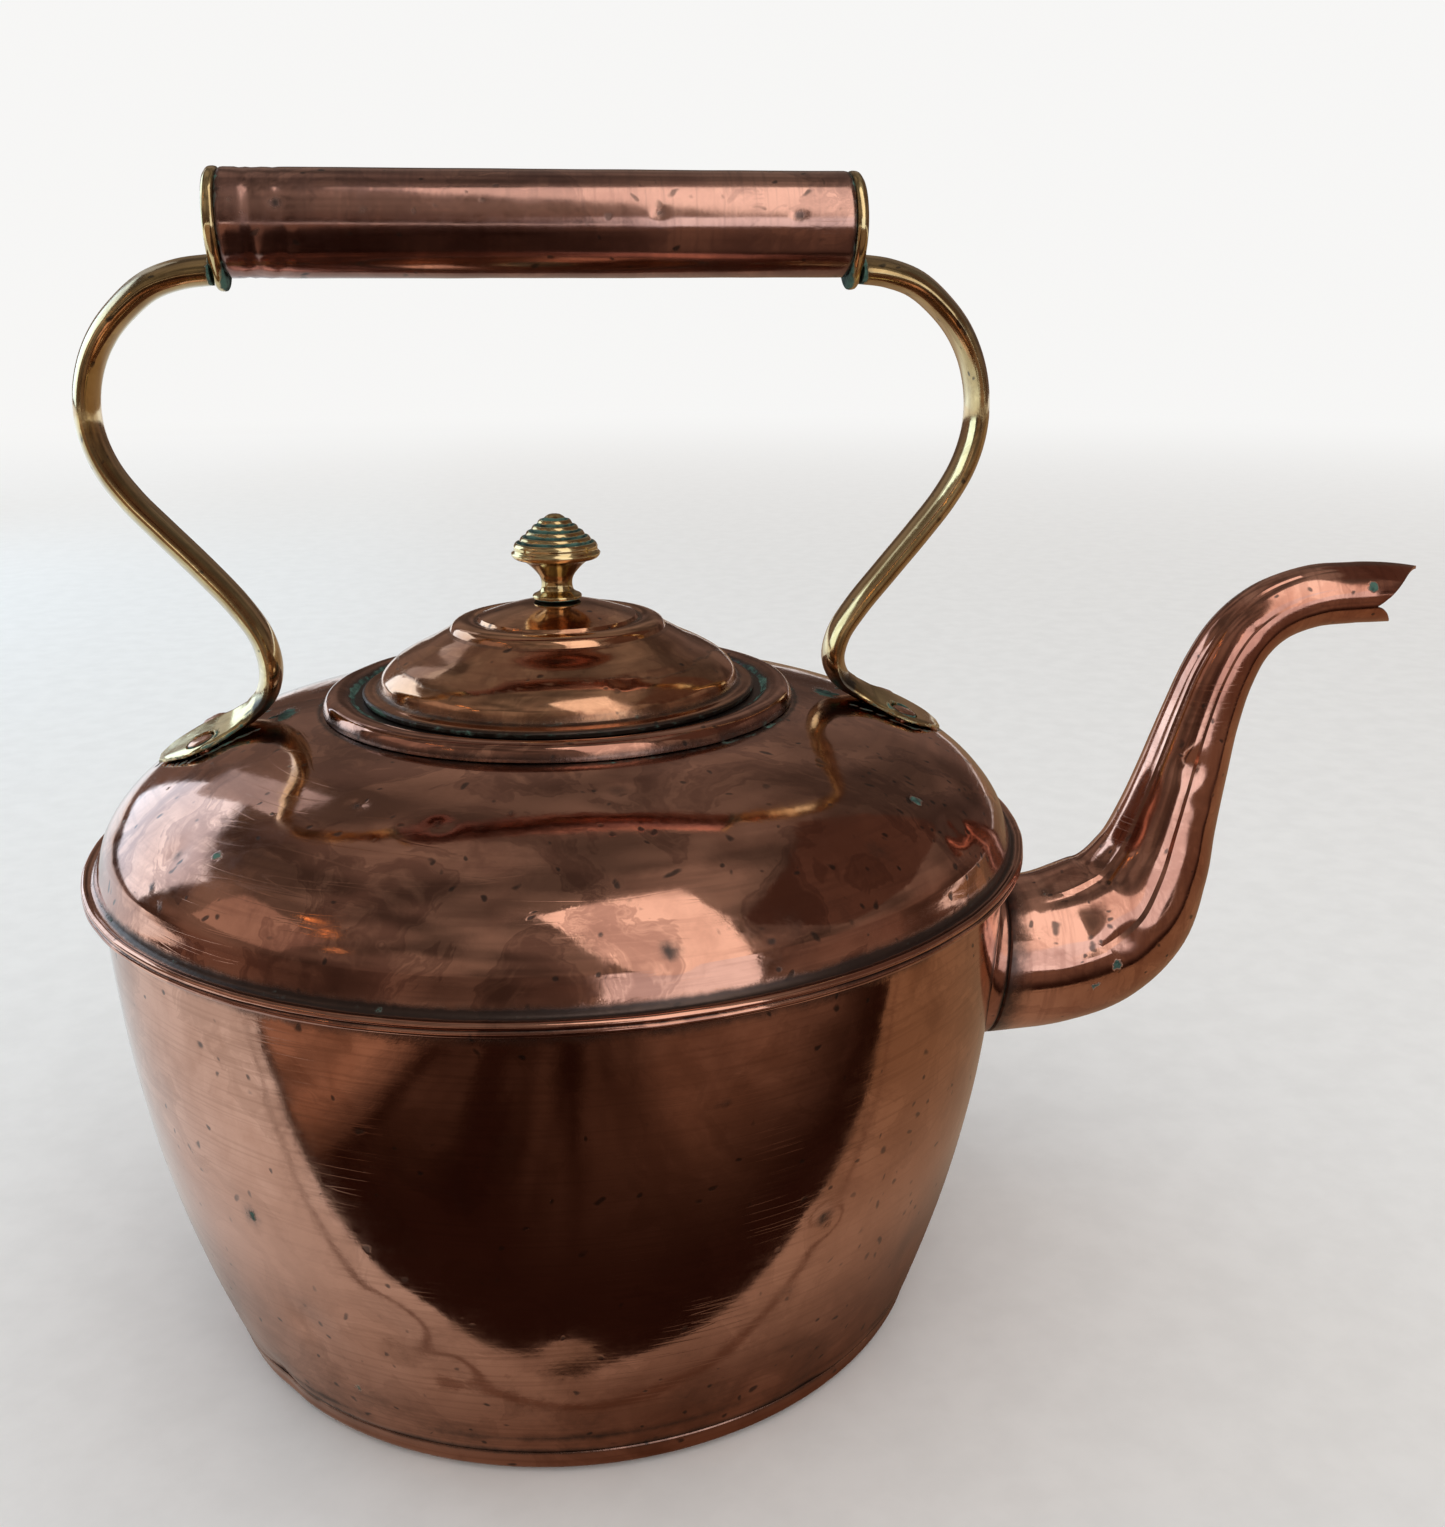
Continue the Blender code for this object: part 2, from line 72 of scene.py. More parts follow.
MM = 0.001
GAP = 0.3
SHEET = 0.9
UP = Vector((0, 0, 1))
SHARP = 40  # degrees between faces, above which an edge stays crisp
SAME_POINT = 1e-7
TINY = 1e-6
# What the materials read from the points, from 0 to 1; the grime and tarnish masks also hold painted shade
# in places, besides real dirt and tarnish
MASKS = ("verdigris", "grime", "wear", "tarnish", "pitting")


def node_size(name):
    """(lowest corner, highest corner) of a CAD node in millimetres."""
    low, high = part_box(name)
    return low / MM, high / MM


# Driving sizes, from the frame
RIM_RADIUS = node_size("shoulder_dome")[1].y
BEAD_RADIUS = node_size("lid_seat_ring")[1].y
LID_RADIUS = node_size("lid_shell")[1].y
LEDGE_Z = node_size("lid_shell")[0].z - GAP
KNOB_TOP_Z = node_size("lid_knob")[1].z
BASE_SEAM_Z = node_size("base_plate")[1].z
GRIP_RADIUS = node_size("grip_tube")[1].y
GRIP_HALF_LENGTH = node_size("grip_tube")[1].x
GRIP_Z = node_size("grip_tube")[1].z - GRIP_RADIUS

# Body
FOOT_RADIUS = 95.8
WALL_RADIUS = RIM_RADIUS - 4.8
WALL_HEIGHT = 124.0
WALL_CURVE = 2.1
BASE_CORNER = 3.6
RIM_TOP_Z = 129.8
HEM_INNER_RADIUS = RIM_RADIUS - 3.9
SEAM_NOTCH = 0.25  # how far the pan and the wall draw in where they meet
BODY_SIDES = 320

# Shoulder dome
DOME_RADIUS = 118.2
DOME_BASE_Z = 129.5
DOME_RISE = 37.3
DOME_POWER = 2.9
DOME_CENTRE_Z = 90
DOME_OPENING_RADIUS = 49.6
DOME_END_RADIUS = 116.4

# Lid and its seat
THROAT_RADIUS = 48.2
THROAT_BOTTOM_Z = 158.4
LEDGE_RADIUS = 53.4
BEAD_TOP_Z = 168.2
SKIRT_RADIUS = 47.4
SKIRT_BOTTOM_Z = 155.0
CROWN_Z = 190.1
LID_CENTRE_Z = 150
LID_DENTS = [(-20, -32, 178, 5, 0.35), (14, -38, 176, 4, 0.25)]  # (x, y, z, size, depth)
KNOB_BASE_Z = 190.4
KNOB_CAP_RADIUS = 11.5
KNOB_CAP_Z = 202.8
KNOB_RIBS = 5
KNOB_SIDES = 96
TENON_RADIUS = 2.4
LID_SIDES = 220

# Spout: (centre x, centre z, radius) along its middle line, after the root
SPOUT_AXIS_Z = 81.3
SPOUT_ROOT_RADIUS = 22.4
SPOUT_ROOT_LENGTH = 9.0  # from the saddle-cut root to the first plain section
SPOUT_STATIONS = [
    (139.0, 82.6, 22.4), (151.5, 86.6, 22.4), (162.2, 94.7, 20.6), (169.0, 107.0, 17.0),
    (172.8, 120.0, 14.3), (176.6, 135.0, 12.4), (180.3, 150.0, 10.9), (184.5, 163.0, 10.0),
    (190.0, 173.0, 9.4), (198.0, 180.0, 9.0), (210.0, 184.2, 8.8),
]
SPOUT_SIDES = 96
MOUTH_CENTRE = (223.6, 185.0, 8.6)
MOUTH_NOTCH = 111  # degrees round from the top, where the lips meet
MOUTH_LEAST = 1.6
UPPER_LIP = 16.0
LOWER_LIP = 9.4
LIP_DROOP = 1.6
LIP_TAPER = 0.35
COLLAR_DEPTH = 6.0
COLLAR_FLARE = 1.8
COLLAR_SLEEVE_RADIUS = 20.4
COLLAR_SLEEVE_LENGTH = 4.0
WALL_HOLE_RADIUS = 19.4
SPOUT_FLATS = ((52, 1.0), (308, 1.0), (0, 0.35))  # (degrees round from the top, strength)
FLAT_HALF_WIDTH = 24  # degrees
# (x, y, z, size, depth or strength) of the spout's dents and marks
SPOUT_DENTS = [
    (173.4, -11.3, 139, 5, 0.7), (176.5, -10.5, 128, 4, 0.5), (142.9, -18.5, 96.7, 5, 0.6),
    (155.3, -20.8, 92, 6, 0.7), (189, -8, 176, 4, 0.5), (176, 11, 140, 6, 0.6), (150, 22, 90, 6, 0.6),
]
SPOUT_GREEN = [
    (151.6, -22.3, 85.6, 3.2, 0.95), (145.8, -21.7, 79.6, 2.6, 0.9), (224, -7.6, 187.6, 3.0, 0.8),
    (134.6, -8.3, 102.8, 2.2, 0.7), (168, 17, 100, 3.0, 0.8),
]
SPOUT_DARK = [
    (134.6, -8.3, 102.8, 3.0, 0.7), (173.4, -11.3, 139, 4, 0.35), (189.2, -8.3, 177.6, 1.8, 0.6),
]
SPOUT_TARNISH = [(163, -5, 108, 18, 0.6), (150, -18, 72, 22, 0.5)]
SPOUT_PITTED = [(142, -19, 95, 14, 1.0), (160, -18, 86, 10, 0.6)]

# Handle
END_PLATE_DEPTH = 2.8
END_LUG_DROP = 2.8
SPIGOT_LENGTH = 6.0
END_SIDES = 96
TUBE_SIDES = 112
# (x, slant, half width, depth) of the creases round the grip
GRIP_CREASES = [(-70, 0.25, 1.0, 0.24), (-67, 0, 1.2, 0.2), (-63, 0.3, 1.4, 0.16)]
# (x, y, z above the grip's middle line, size, depth or strength) of pits and dark spots in the grip
GRIP_PITS = [(60.7, -12.5, 1.5, 1.6, 0.3), (-61.2, -11.9, 4, 1.6, 0.3), (27, -12.4, 2, 1.8, 0.3)]
GRIP_DARK = [(60.7, -12.6, 1.5, 2.2, 1.0), (-61.2, -12.1, 4, 2.2, 1.0)]
# (x, z, thickness, half width) down the strap's middle line, from the grip to the shoulder
STRAP_STATIONS = [
    (GRIP_HALF_LENGTH + END_PLATE_DEPTH + 2 * GAP, 271.6, 7.2, 7.0), (86.0, 270.6, 7.1, 7.1),
    (93.6, 267.9, 6.9, 7.3), (100.4, 262.5, 6.6, 7.4), (105.4, 256.6, 6.4, 7.5), (109.0, 249.4, 6.2, 7.5),
    (110.9, 240.8, 6.1, 7.5), (110.6, 232.2, 6.1, 7.5), (108.0, 223.8, 6.2, 7.5),
    (103.2, 215.8, 6.3, 7.5), (96.6, 207.7, 6.4, 7.5), (87.8, 197.5, 6.4, 7.5), (79.9, 187.8, 6.3, 7.5),
    (75.2, 180.0, 6.1, 7.6), (73.8, 172.6, 5.9, 7.9), (75.4, 167.2, 5.5, 8.4), (79.2, 163.8, 5.0, 9.8),
]
STRAP_SKEW = 2.6
# (x, half width, ridge height, edge height) along the leaf-shaped foot, on the shoulder
FOOT_STATIONS = [
    (84.0, 13.0, 4.6, 1.9), (88.0, 16.0, 4.3, 1.8), (92.0, 16.6, 3.9, 1.7), (96.0, 13.6, 3.4, 1.6),
    (100.0, 8.6, 2.8, 1.4), (103.0, 3.6, 1.9, 1.2),
]
FOOT_TIP_X = 104.2
FOOT_Z = 157
RIVET_X = 90.0
RIVET_Y = 10.8
RIVET_HOLE_RADIUS = 2.2
RIVET_SEAT_RADIUS = 3.9
RIVET_SEAT_HEIGHT = 1.5
SEAT_EDGE_HEIGHT = 2.4
RIVET_SIDES = 56
HOLE_LOW = -4  # how far below and above the shoulder's surface a rivet's hole is cut
HOLE_HIGH = 8
SIDES = (("rear", -1), ("front", 1))
ACROSS = ((-1, "near"), (1, "far"))


# ---- Outlines and meshes ----


def spline(points, step):
    """A smooth curve through the points, with about this step, broken at each crisp corner."""
    rows = [np.array(p, float) for p in points]
    runs = [[rows[0]]]
    for row in rows[1:]:
        if np.allclose(row, runs[-1][-1]):
            runs.append([row])
        else:
            runs[-1].append(row)
    out = []
    for run in runs:
        if len(run) == 1:
            continue
        path = [2 * run[0] - run[1]] + run + [2 * run[-1] - run[-2]]
        for before, start, end, after in zip(path, path[1:], path[2:], path[3:]):
            steps = max(1, math.ceil(np.linalg.norm((end - start)[:2]) / step))
            for t in np.arange(steps) / steps:
                out.append(cubic(before, start, end, after, t))
        out.append(run[-1])
    return out


def crisp(*point):
    """A corner in a spline's points, where one smooth run ends and the next begins."""
    return [point, point]


def cubic(before, start, end, after, t):
    """Centripetal Catmull-Rom, which keeps uneven spacing free of loops."""
    knots = [0.0]
    rows = (before, start, end, after)
    for one, two in zip(rows, rows[1:]):
        knots.append(knots[-1] + max(np.linalg.norm(two - one) ** 0.5, TINY))
    a, b, c, d = knots
    at = b + (c - b) * t

    def between(one, two, low, high):
        """The point between two others that belongs to this place on the scale of the knots."""
        return one * (high - at) / (high - low) + two * (at - low) / (high - low)

    first = between(before, start, a, b)
    second = between(start, end, b, c)
    third = between(end, after, c, d)
    return between(between(first, second, a, c), between(second, third, b, d), b, c)


def faces_between(rings, closed):
    """Quads, or triangles at a pole, that join each ring of point numbers to the next one."""
    pairs = list(zip(rings, rings[1:]))
    if closed:
        pairs.append((rings[-1], rings[0]))
    faces = []
    for low, high in pairs:
        for here in range(len(low)):
            after = (here + 1) % len(low)
            corners = dict.fromkeys((low[here], low[after], high[after], high[here]))
            if len(corners) > 2:
                faces.append(tuple(corners))
    return faces


def add_object(name, data):
    """A new object in the scene that shows this data."""
    obj = bpy.data.objects.new(name, data)
    bpy.context.scene.collection.objects.link(obj)
    return obj


def face_outwards(mesh):
    """Joins points that coincide, and turns every face outwards."""
    loose = bmesh.new()
    loose.from_mesh(mesh)
    bmesh.ops.remove_doubles(loose, verts=loose.verts, dist=SAME_POINT)
    bmesh.ops.recalc_face_normals(loose, faces=loose.faces)
    loose.to_mesh(mesh)
    loose.free()


def make_object(name, points, faces, sharp=SHARP):
    """A smooth-shaded mesh from points in millimetres, crisp where faces meet at over this angle."""
    mesh = bpy.data.meshes.new(name)
    mesh.from_pydata(np.asarray(points, float) * MM, [], faces)
    face_outwards(mesh)
    mesh.shade_smooth()
    mesh.set_sharp_from_angle(angle=math.radians(sharp))
    return add_object(name, mesh)


def turned(name, outline, sides, sharp=SHARP):
    """Turns a closed (radius, z) outline about the Z axis."""
    points = []
    rings = []
    for radius, z in outline:
        first = len(points)
        if radius < TINY:
            points.append((0, 0, z))
            rings.append([first] * sides)
            continue
        for side in range(sides):
            angle = math.tau * side / sides
            points.append((radius * math.cos(angle), radius * math.sin(angle), z))
        rings.append(list(range(first, first + sides)))
    return make_object(name, points, faces_between(rings, closed=True), sharp)


def lofted(name, sections, closed=False, sharp=SHARP):
    """Joins sections with the same number of points; an open loft gets flat ends."""
    points = [point for section in sections for point in section]
    size = len(sections[0])
    rings = [list(range(i * size, (i + 1) * size)) for i in range(len(sections))]
    faces = faces_between(rings, closed)
    if not closed:
        faces += [tuple(rings[0]), tuple(rings[-1])]
    return make_object(name, points, faces, sharp)


def drill(radius, low, high, place, sides=48):
    """A plain cylinder along the Z axis of this placement, to cut a hole with."""
    outline = [(0, high), (radius, high), (radius, low), (0, low)]
    tool = turned("drill", outline, sides)
    tool.matrix_world = place
    return tool


def cut(obj, tools):
    """Takes each tool's volume out of the piece, and keeps only the result."""
    for tool in tools:
        boolean = obj.modifiers.new("cut", "BOOLEAN")
        boolean.operation = "DIFFERENCE"
        boolean.object = tool
    bpy.context.view_layer.update()
    graph = bpy.context.evaluated_depsgraph_get()
    result = bpy.data.meshes.new_from_object(obj.evaluated_get(graph))
    obj.modifiers.clear()
    obj.data = result
    result.shade_smooth()
    result.set_sharp_from_angle(angle=math.radians(SHARP))
    for tool in tools:
        bpy.data.objects.remove(tool)


def points_of(obj):
    """The piece's points in millimetres, one row each."""
    flat = np.empty(len(obj.data.vertices) * 3)
    obj.data.vertices.foreach_get("co", flat)
    return flat.reshape(-1, 3) / MM


def place_points(obj, points):
    """Moves the piece's points to these places in millimetres."""
    obj.data.vertices.foreach_set("co", (points * MM).ravel())
    obj.data.update()


def ripple(points, size, seed):
    """Smooth noise from -1 to 1 at each point, with bumps of about this size in millimetres."""
    offset = Vector((seed * 7.3, seed * 3.1, seed * 5.7))
    return np.array([noise.noise(Vector(p) / size + offset) for p in points])


def near(points, centre, radius):
    """1 at the centre, falling smoothly to nothing over about this radius."""
    distance = np.linalg.norm(points - np.array(centre), axis=1)
    return np.exp(-((distance / radius) ** 2) * 2)


def band(values, middle, half_width):
    """1 in the middle of a band of values, falling smoothly to nothing at about its edges."""
    return np.exp(-(((values - middle) / half_width) ** 2) * 2)


def push(obj, amount, direction):
    """Moves each point by this many millimetres along its own direction."""
    place_points(obj, points_of(obj) + direction * amount[:, None])


def spots(points, rows):
    """The sum of several round spots, each (x, y, z, size, strength)."""
    return sum(strength * near(points, (x, y, z), size) for x, y, z, size, strength in rows)


def radius_of(points):
    """Each point's distance from the Z axis."""
    return np.hypot(points[:, 0], points[:, 1])


def angle_of(points):
    """Each point's angle round the Z axis."""
    return np.arctan2(points[:, 1], points[:, 0])


def unit(rows):
    """The same directions with a length of 1."""
    return rows / np.maximum(np.linalg.norm(rows, axis=1), TINY)[:, None]


def radial(points):
    """Level directions away from the Z axis."""
    return unit(points * np.array((1, 1, 0)))


def from_axis(points, z):
    """Directions away from the point of the axis at this height."""
    return unit(points - np.array((0, 0, z)))


def mark(obj, **masks):
    """Stores each mask as a float on the points, for the materials to read."""
    for name in MASKS:
        values = np.clip(np.zeros(len(obj.data.vertices)) + masks.get(name, 0), 0, 1)
        layer = obj.data.attributes.new(name, "FLOAT", "POINT")
        layer.data.foreach_set("value", values.astype(np.float32))


def coat(obj, metal):
    """Gives the object this metal and no other."""
    obj.data.materials.clear()
    obj.data.materials.append(metal)


def finish_piece(obj, node, metal):
    """Gives the piece its metal, and lets it stand for the CAD node."""
    coat(obj, metal)
    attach(obj, frame["nodes"][node]["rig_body"])
    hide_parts(node)


# ---- Surfaces of the body ----


def wall_radius(z):
    """The wall's outside radius at this height."""
    rise = min(z / WALL_HEIGHT, 1)
    return FOOT_RADIUS + (WALL_RADIUS - FOOT_RADIUS) * (1 - (1 - rise) ** WALL_CURVE)


def dome_z(radius):
    """The height of the shoulder's outside at this radius."""
    return DOME_BASE_Z + DOME_RISE * math.sqrt(1 - (radius / DOME_RADIUS) ** DOME_POWER)


def dome_slope(radius):
    """How much the shoulder rises per millimetre outwards, which is negative where it falls."""
    step = 0.1
    return (dome_z(radius + step) - dome_z(radius - step)) / (2 * step)


def wall_point(azimuth, z):
    """The point of the wall at this azimuth in degrees from +X and this height."""
    angle = math.radians(azimuth)
    return (wall_radius(z) * math.cos(angle), wall_radius(z) * math.sin(angle), z)


def dome_point(azimuth, radius):
    """The point of the shoulder at this azimuth in degrees from +X and this radius."""
    angle = math.radians(azimuth)
    return (radius * math.cos(angle), radius * math.sin(angle), dome_z(radius))


def marks(points, places, point_on):
    """The strongest of several round marks, each (azimuth, height or radius, size, strength)."""
    total = np.zeros(len(points))
    for azimuth, height, size, strength in places:
        total = np.maximum(total, strength * near(points, point_on(azimuth, height), size))
    return total


WALL_DEEPER = 1.6  # how many times as deep the dents are in the wall as in the pan
# (azimuth, z, size, depth in millimetres) of dents in the pan and the wall
WALL_DENTS = [
    (-128, 40, 9, 0.5), (-115, 45, 12, 0.6), (-94, 40, 14, 0.5), (-109, 34, 8, 0.4), (-142, 6, 9, 0.7),
    (-63, 66, 5, 0.35), (-69, 20, 10, 0.4), (-58, 10, 8, 0.3), (-40, 30, 14, 0.5), (40, 70, 16, 0.5),
    (95, 50, 18, 0.6), (150, 30, 12, 0.5), (128, 88, 9, 0.4),
]
# (azimuth, z, size, strength) of green and dark spots on the wall
WALL_GREEN = [
    (-132, 69, 3.4, 0.9), (-123, 22, 2.6, 0.8), (-84, 28, 2.2, 0.6), (70, 40, 3, 0.7), (160, 92, 3, 0.7),
]
WALL_DARK = [
    (-132, 69, 5.5, 0.6), (-77, 105, 2.4, 0.8), (-63, 66, 3.4, 0.8), (-64, 75, 2.0, 0.5),
    (-67, 48, 2.2, 0.5), (-56, 56, 2.4, 0.4), (110, 30, 3, 0.6), (30, 95, 3, 0.5),
]
# (azimuth, z, size, strength) of the wall's pitted areas
WALL_PITTED = [(-52, 60, 24, 0.7), (-60, 25, 30, 0.5), (-120, 22, 26, 0.5)]


def base_pan():
    """The pan-shaped base, whose edge turns up to meet the wall in a flush seam."""
    centre = wall_radius(BASE_CORNER) - BASE_CORNER
    inner_corner = BASE_CORNER - SHEET
    turn = np.radians(np.linspace(0, 90, 10))
    outer = [(r, 0) for r in np.linspace(0, centre, 24)[:-1]]
    outer += [(centre + BASE_CORNER * math.sin(a), BASE_CORNER * (1 - math.cos(a))) for a in turn]
    outer += [(wall_radius(z), z) for z in np.linspace(BASE_CORNER, BASE_SEAM_Z - 0.3, 4)[1:]]
    outer.append((wall_radius(BASE_SEAM_Z) - SEAM_NOTCH, BASE_SEAM_Z))
    inner = [(0, SHEET), (centre, SHEET)]
    inner += [(centre + inner_corner * math.sin(a), BASE_CORNER - inner_corner * math.cos(a)) for a in turn]
    inner.append((wall_radius(BASE_SEAM_Z) - SHEET, BASE_SEAM_Z))
    pan = turned("pan", outer + inner[::-1], BODY_SIDES)
    points = points_of(pan)
    radius = radius_of(points)
    # The flat of the base is hollowed a little, so that the kettle stands on its rim
    low = (points[:, 2] < 0.5) & (radius < centre)
    hollow = 0.35 * (1 + ripple(points, 26, 1)) * np.clip((centre - radius) / 20, 0, 1)
    lift = np.where(low, hollow, 0)
    dents = -marks(points, WALL_DENTS, wall_point)
    push(pan, np.where(low, 0, 0.12 * ripple(points, 40, 2) - 0.12 + dents), radial(points))
    points = points_of(pan)
    points[:, 2] += lift
    place_points(pan, points)
    seam = band(points[:, 2], BASE_SEAM_Z, 1.6)
    # Darker along the seam and along the bottom edge.
    mark(pan, grime=0.55 * seam + 0.5 * band(points[:, 2], 0, 2.2), verdigris=0.25 * seam)
    return pan


def wall():
    """The hammered wall, from the base seam up to the flange inside the rim."""
    flange_top = RIM_TOP_Z - SHEET - GAP
    flange_radius = RIM_RADIUS - SHEET - GAP
    start = BASE_SEAM_Z + 0.1
    outer = [(wall_radius(start) - SEAM_NOTCH, start)]
    outer += [(wall_radius(z), z) for z in np.linspace(start + 0.3, WALL_HEIGHT, 68)]
    outer += [
        (WALL_RADIUS + 0.1, flange_top - 2.0), (WALL_RADIUS + 0.8, flange_top - SHEET),
        (flange_radius, flange_top - SHEET), (flange_radius, flange_top), (WALL_RADIUS + 0.2, flange_top),
    ]
    inner = [(wall_radius(z) - SHEET, z) for z in np.linspace(WALL_HEIGHT + 2, start, 30)]
    piece = turned("wall", outer + inner, BODY_SIDES)
    sideways = Euler((0, math.radians(90), 0)).to_matrix().to_4x4()
    across = Matrix.Translation((0, 0, SPOUT_AXIS_Z * MM)) @ sideways
    cut(piece, [drill(WALL_HOLE_RADIUS, 0, WALL_RADIUS * 1.2, across)])
    points = points_of(piece)
    z = points[:, 2]
    # The rim and the spout's root stay in place
    root_centre = wall_point(0, SPOUT_AXIS_Z)
    root = near(points, root_centre, 55)
    free = np.clip((WALL_HEIGHT - z) / 20, 0, 1) * np.clip(1 - root, 0, 1)
    sway = 0.2 * ripple(points, 60, 3) + 0.08 * ripple(points, 20, 4) - 0.2
    dents = -WALL_DEEPER * marks(points, WALL_DENTS, wall_point)
    low_wall = np.clip((60 - z) / 40, 0, 1) * np.clip((z - 9) / 4, 0, 1)
    knocks = 0.14 * (ripple(points, 11, 26) - 0.6) * low_wall
    push(piece, sway * free + dents + knocks, radial(points))
    angle = angle_of(points)
    seat = band(np.linalg.norm(points - np.array(root_centre), axis=1), 25, 3)
    # Painted shade under the rim's hem: the top of the wall darkens there.
    shade_under_rim = np.clip((z - WALL_HEIGHT + 3) / 4, 0, 1)
    foot_line = band(z, 11.5 + 1.2 * np.sin(3 * angle), 0.9)
    mark(
        piece,
        verdigris=marks(points, WALL_GREEN, wall_point) + 0.35 * seat,
        grime=marks(points, WALL_DARK, wall_point)
        + 0.75 * shade_under_rim
        + 0.5 * seat
        + 0.35 * foot_line
        + 0.32 * np.clip((66 - z) / 50, 0, 1) * (0.8 + 0.8 * ripple(points, 13, 25))
        + 0.5 * band(z, start, 1.4),
        wear=0.5 * band(z, 60, 30),
        tarnish=0.8 * np.clip((72 - z) / 40, 0, 1) * np.clip(4 * ripple(points, 15, 27) - 0.5, 0, 1),
        pitting=marks(points, WALL_PITTED, wall_point),
    )
    return piece


# (azimuth, radius, size, depth in millimetres) of the shoulder's dents
DOME_DENTS = [
    (-82, 114, 6, 0.8), (-145, 108, 5, 0.6), (-83, 75, 7, 0.5), (-125, 84, 4, 0.4), (-52, 107, 8, 0.5),
    (-36, 111, 6, 0.6), (-110, 87, 4, 0.3), (60, 92, 10, 0.5), (100, 80, 8, 0.5), (140, 100, 9, 0.6),
    (25, 108, 6, 0.5),
]
# (azimuth, radius, size, strength) of green and dark spots on the shoulder, and of its pitted areas
DOME_GREEN = [
    (-38, 102, 3.2, 0.9), (-138, 105, 2.6, 0.8), (-163, 100, 3.0, 0.8), (-130, 103, 1.8, 0.5),
    (75, 96, 3, 0.8), (120, 70, 2.6, 0.7),
]
DOME_DARK = [
    (-82, 115, 3.4, 0.9), (-38, 102, 4.2, 0.6), (-145, 108, 3.0, 0.5), (-125, 84, 2.2, 0.9),
    (-110, 87, 1.8, 0.8), (-100, 82, 1.8, 0.7), (-145, 114, 2.0, 0.8), (-142, 115.5, 2.0, 0.8),
    (-83, 75, 4.5, 0.5), (-52, 107, 5.5, 0.45), (-68, 114, 7, 0.35), (85, 84, 3, 0.7), (150, 92, 3, 0.7),
]
DOME_PITTED = [
    (-38, 104, 26, 1.0), (-58, 110, 16, 0.8), (-84, 104, 14, 0.7), (-97, 98, 12, 0.6),
    (-140, 112, 9, 0.8),
]


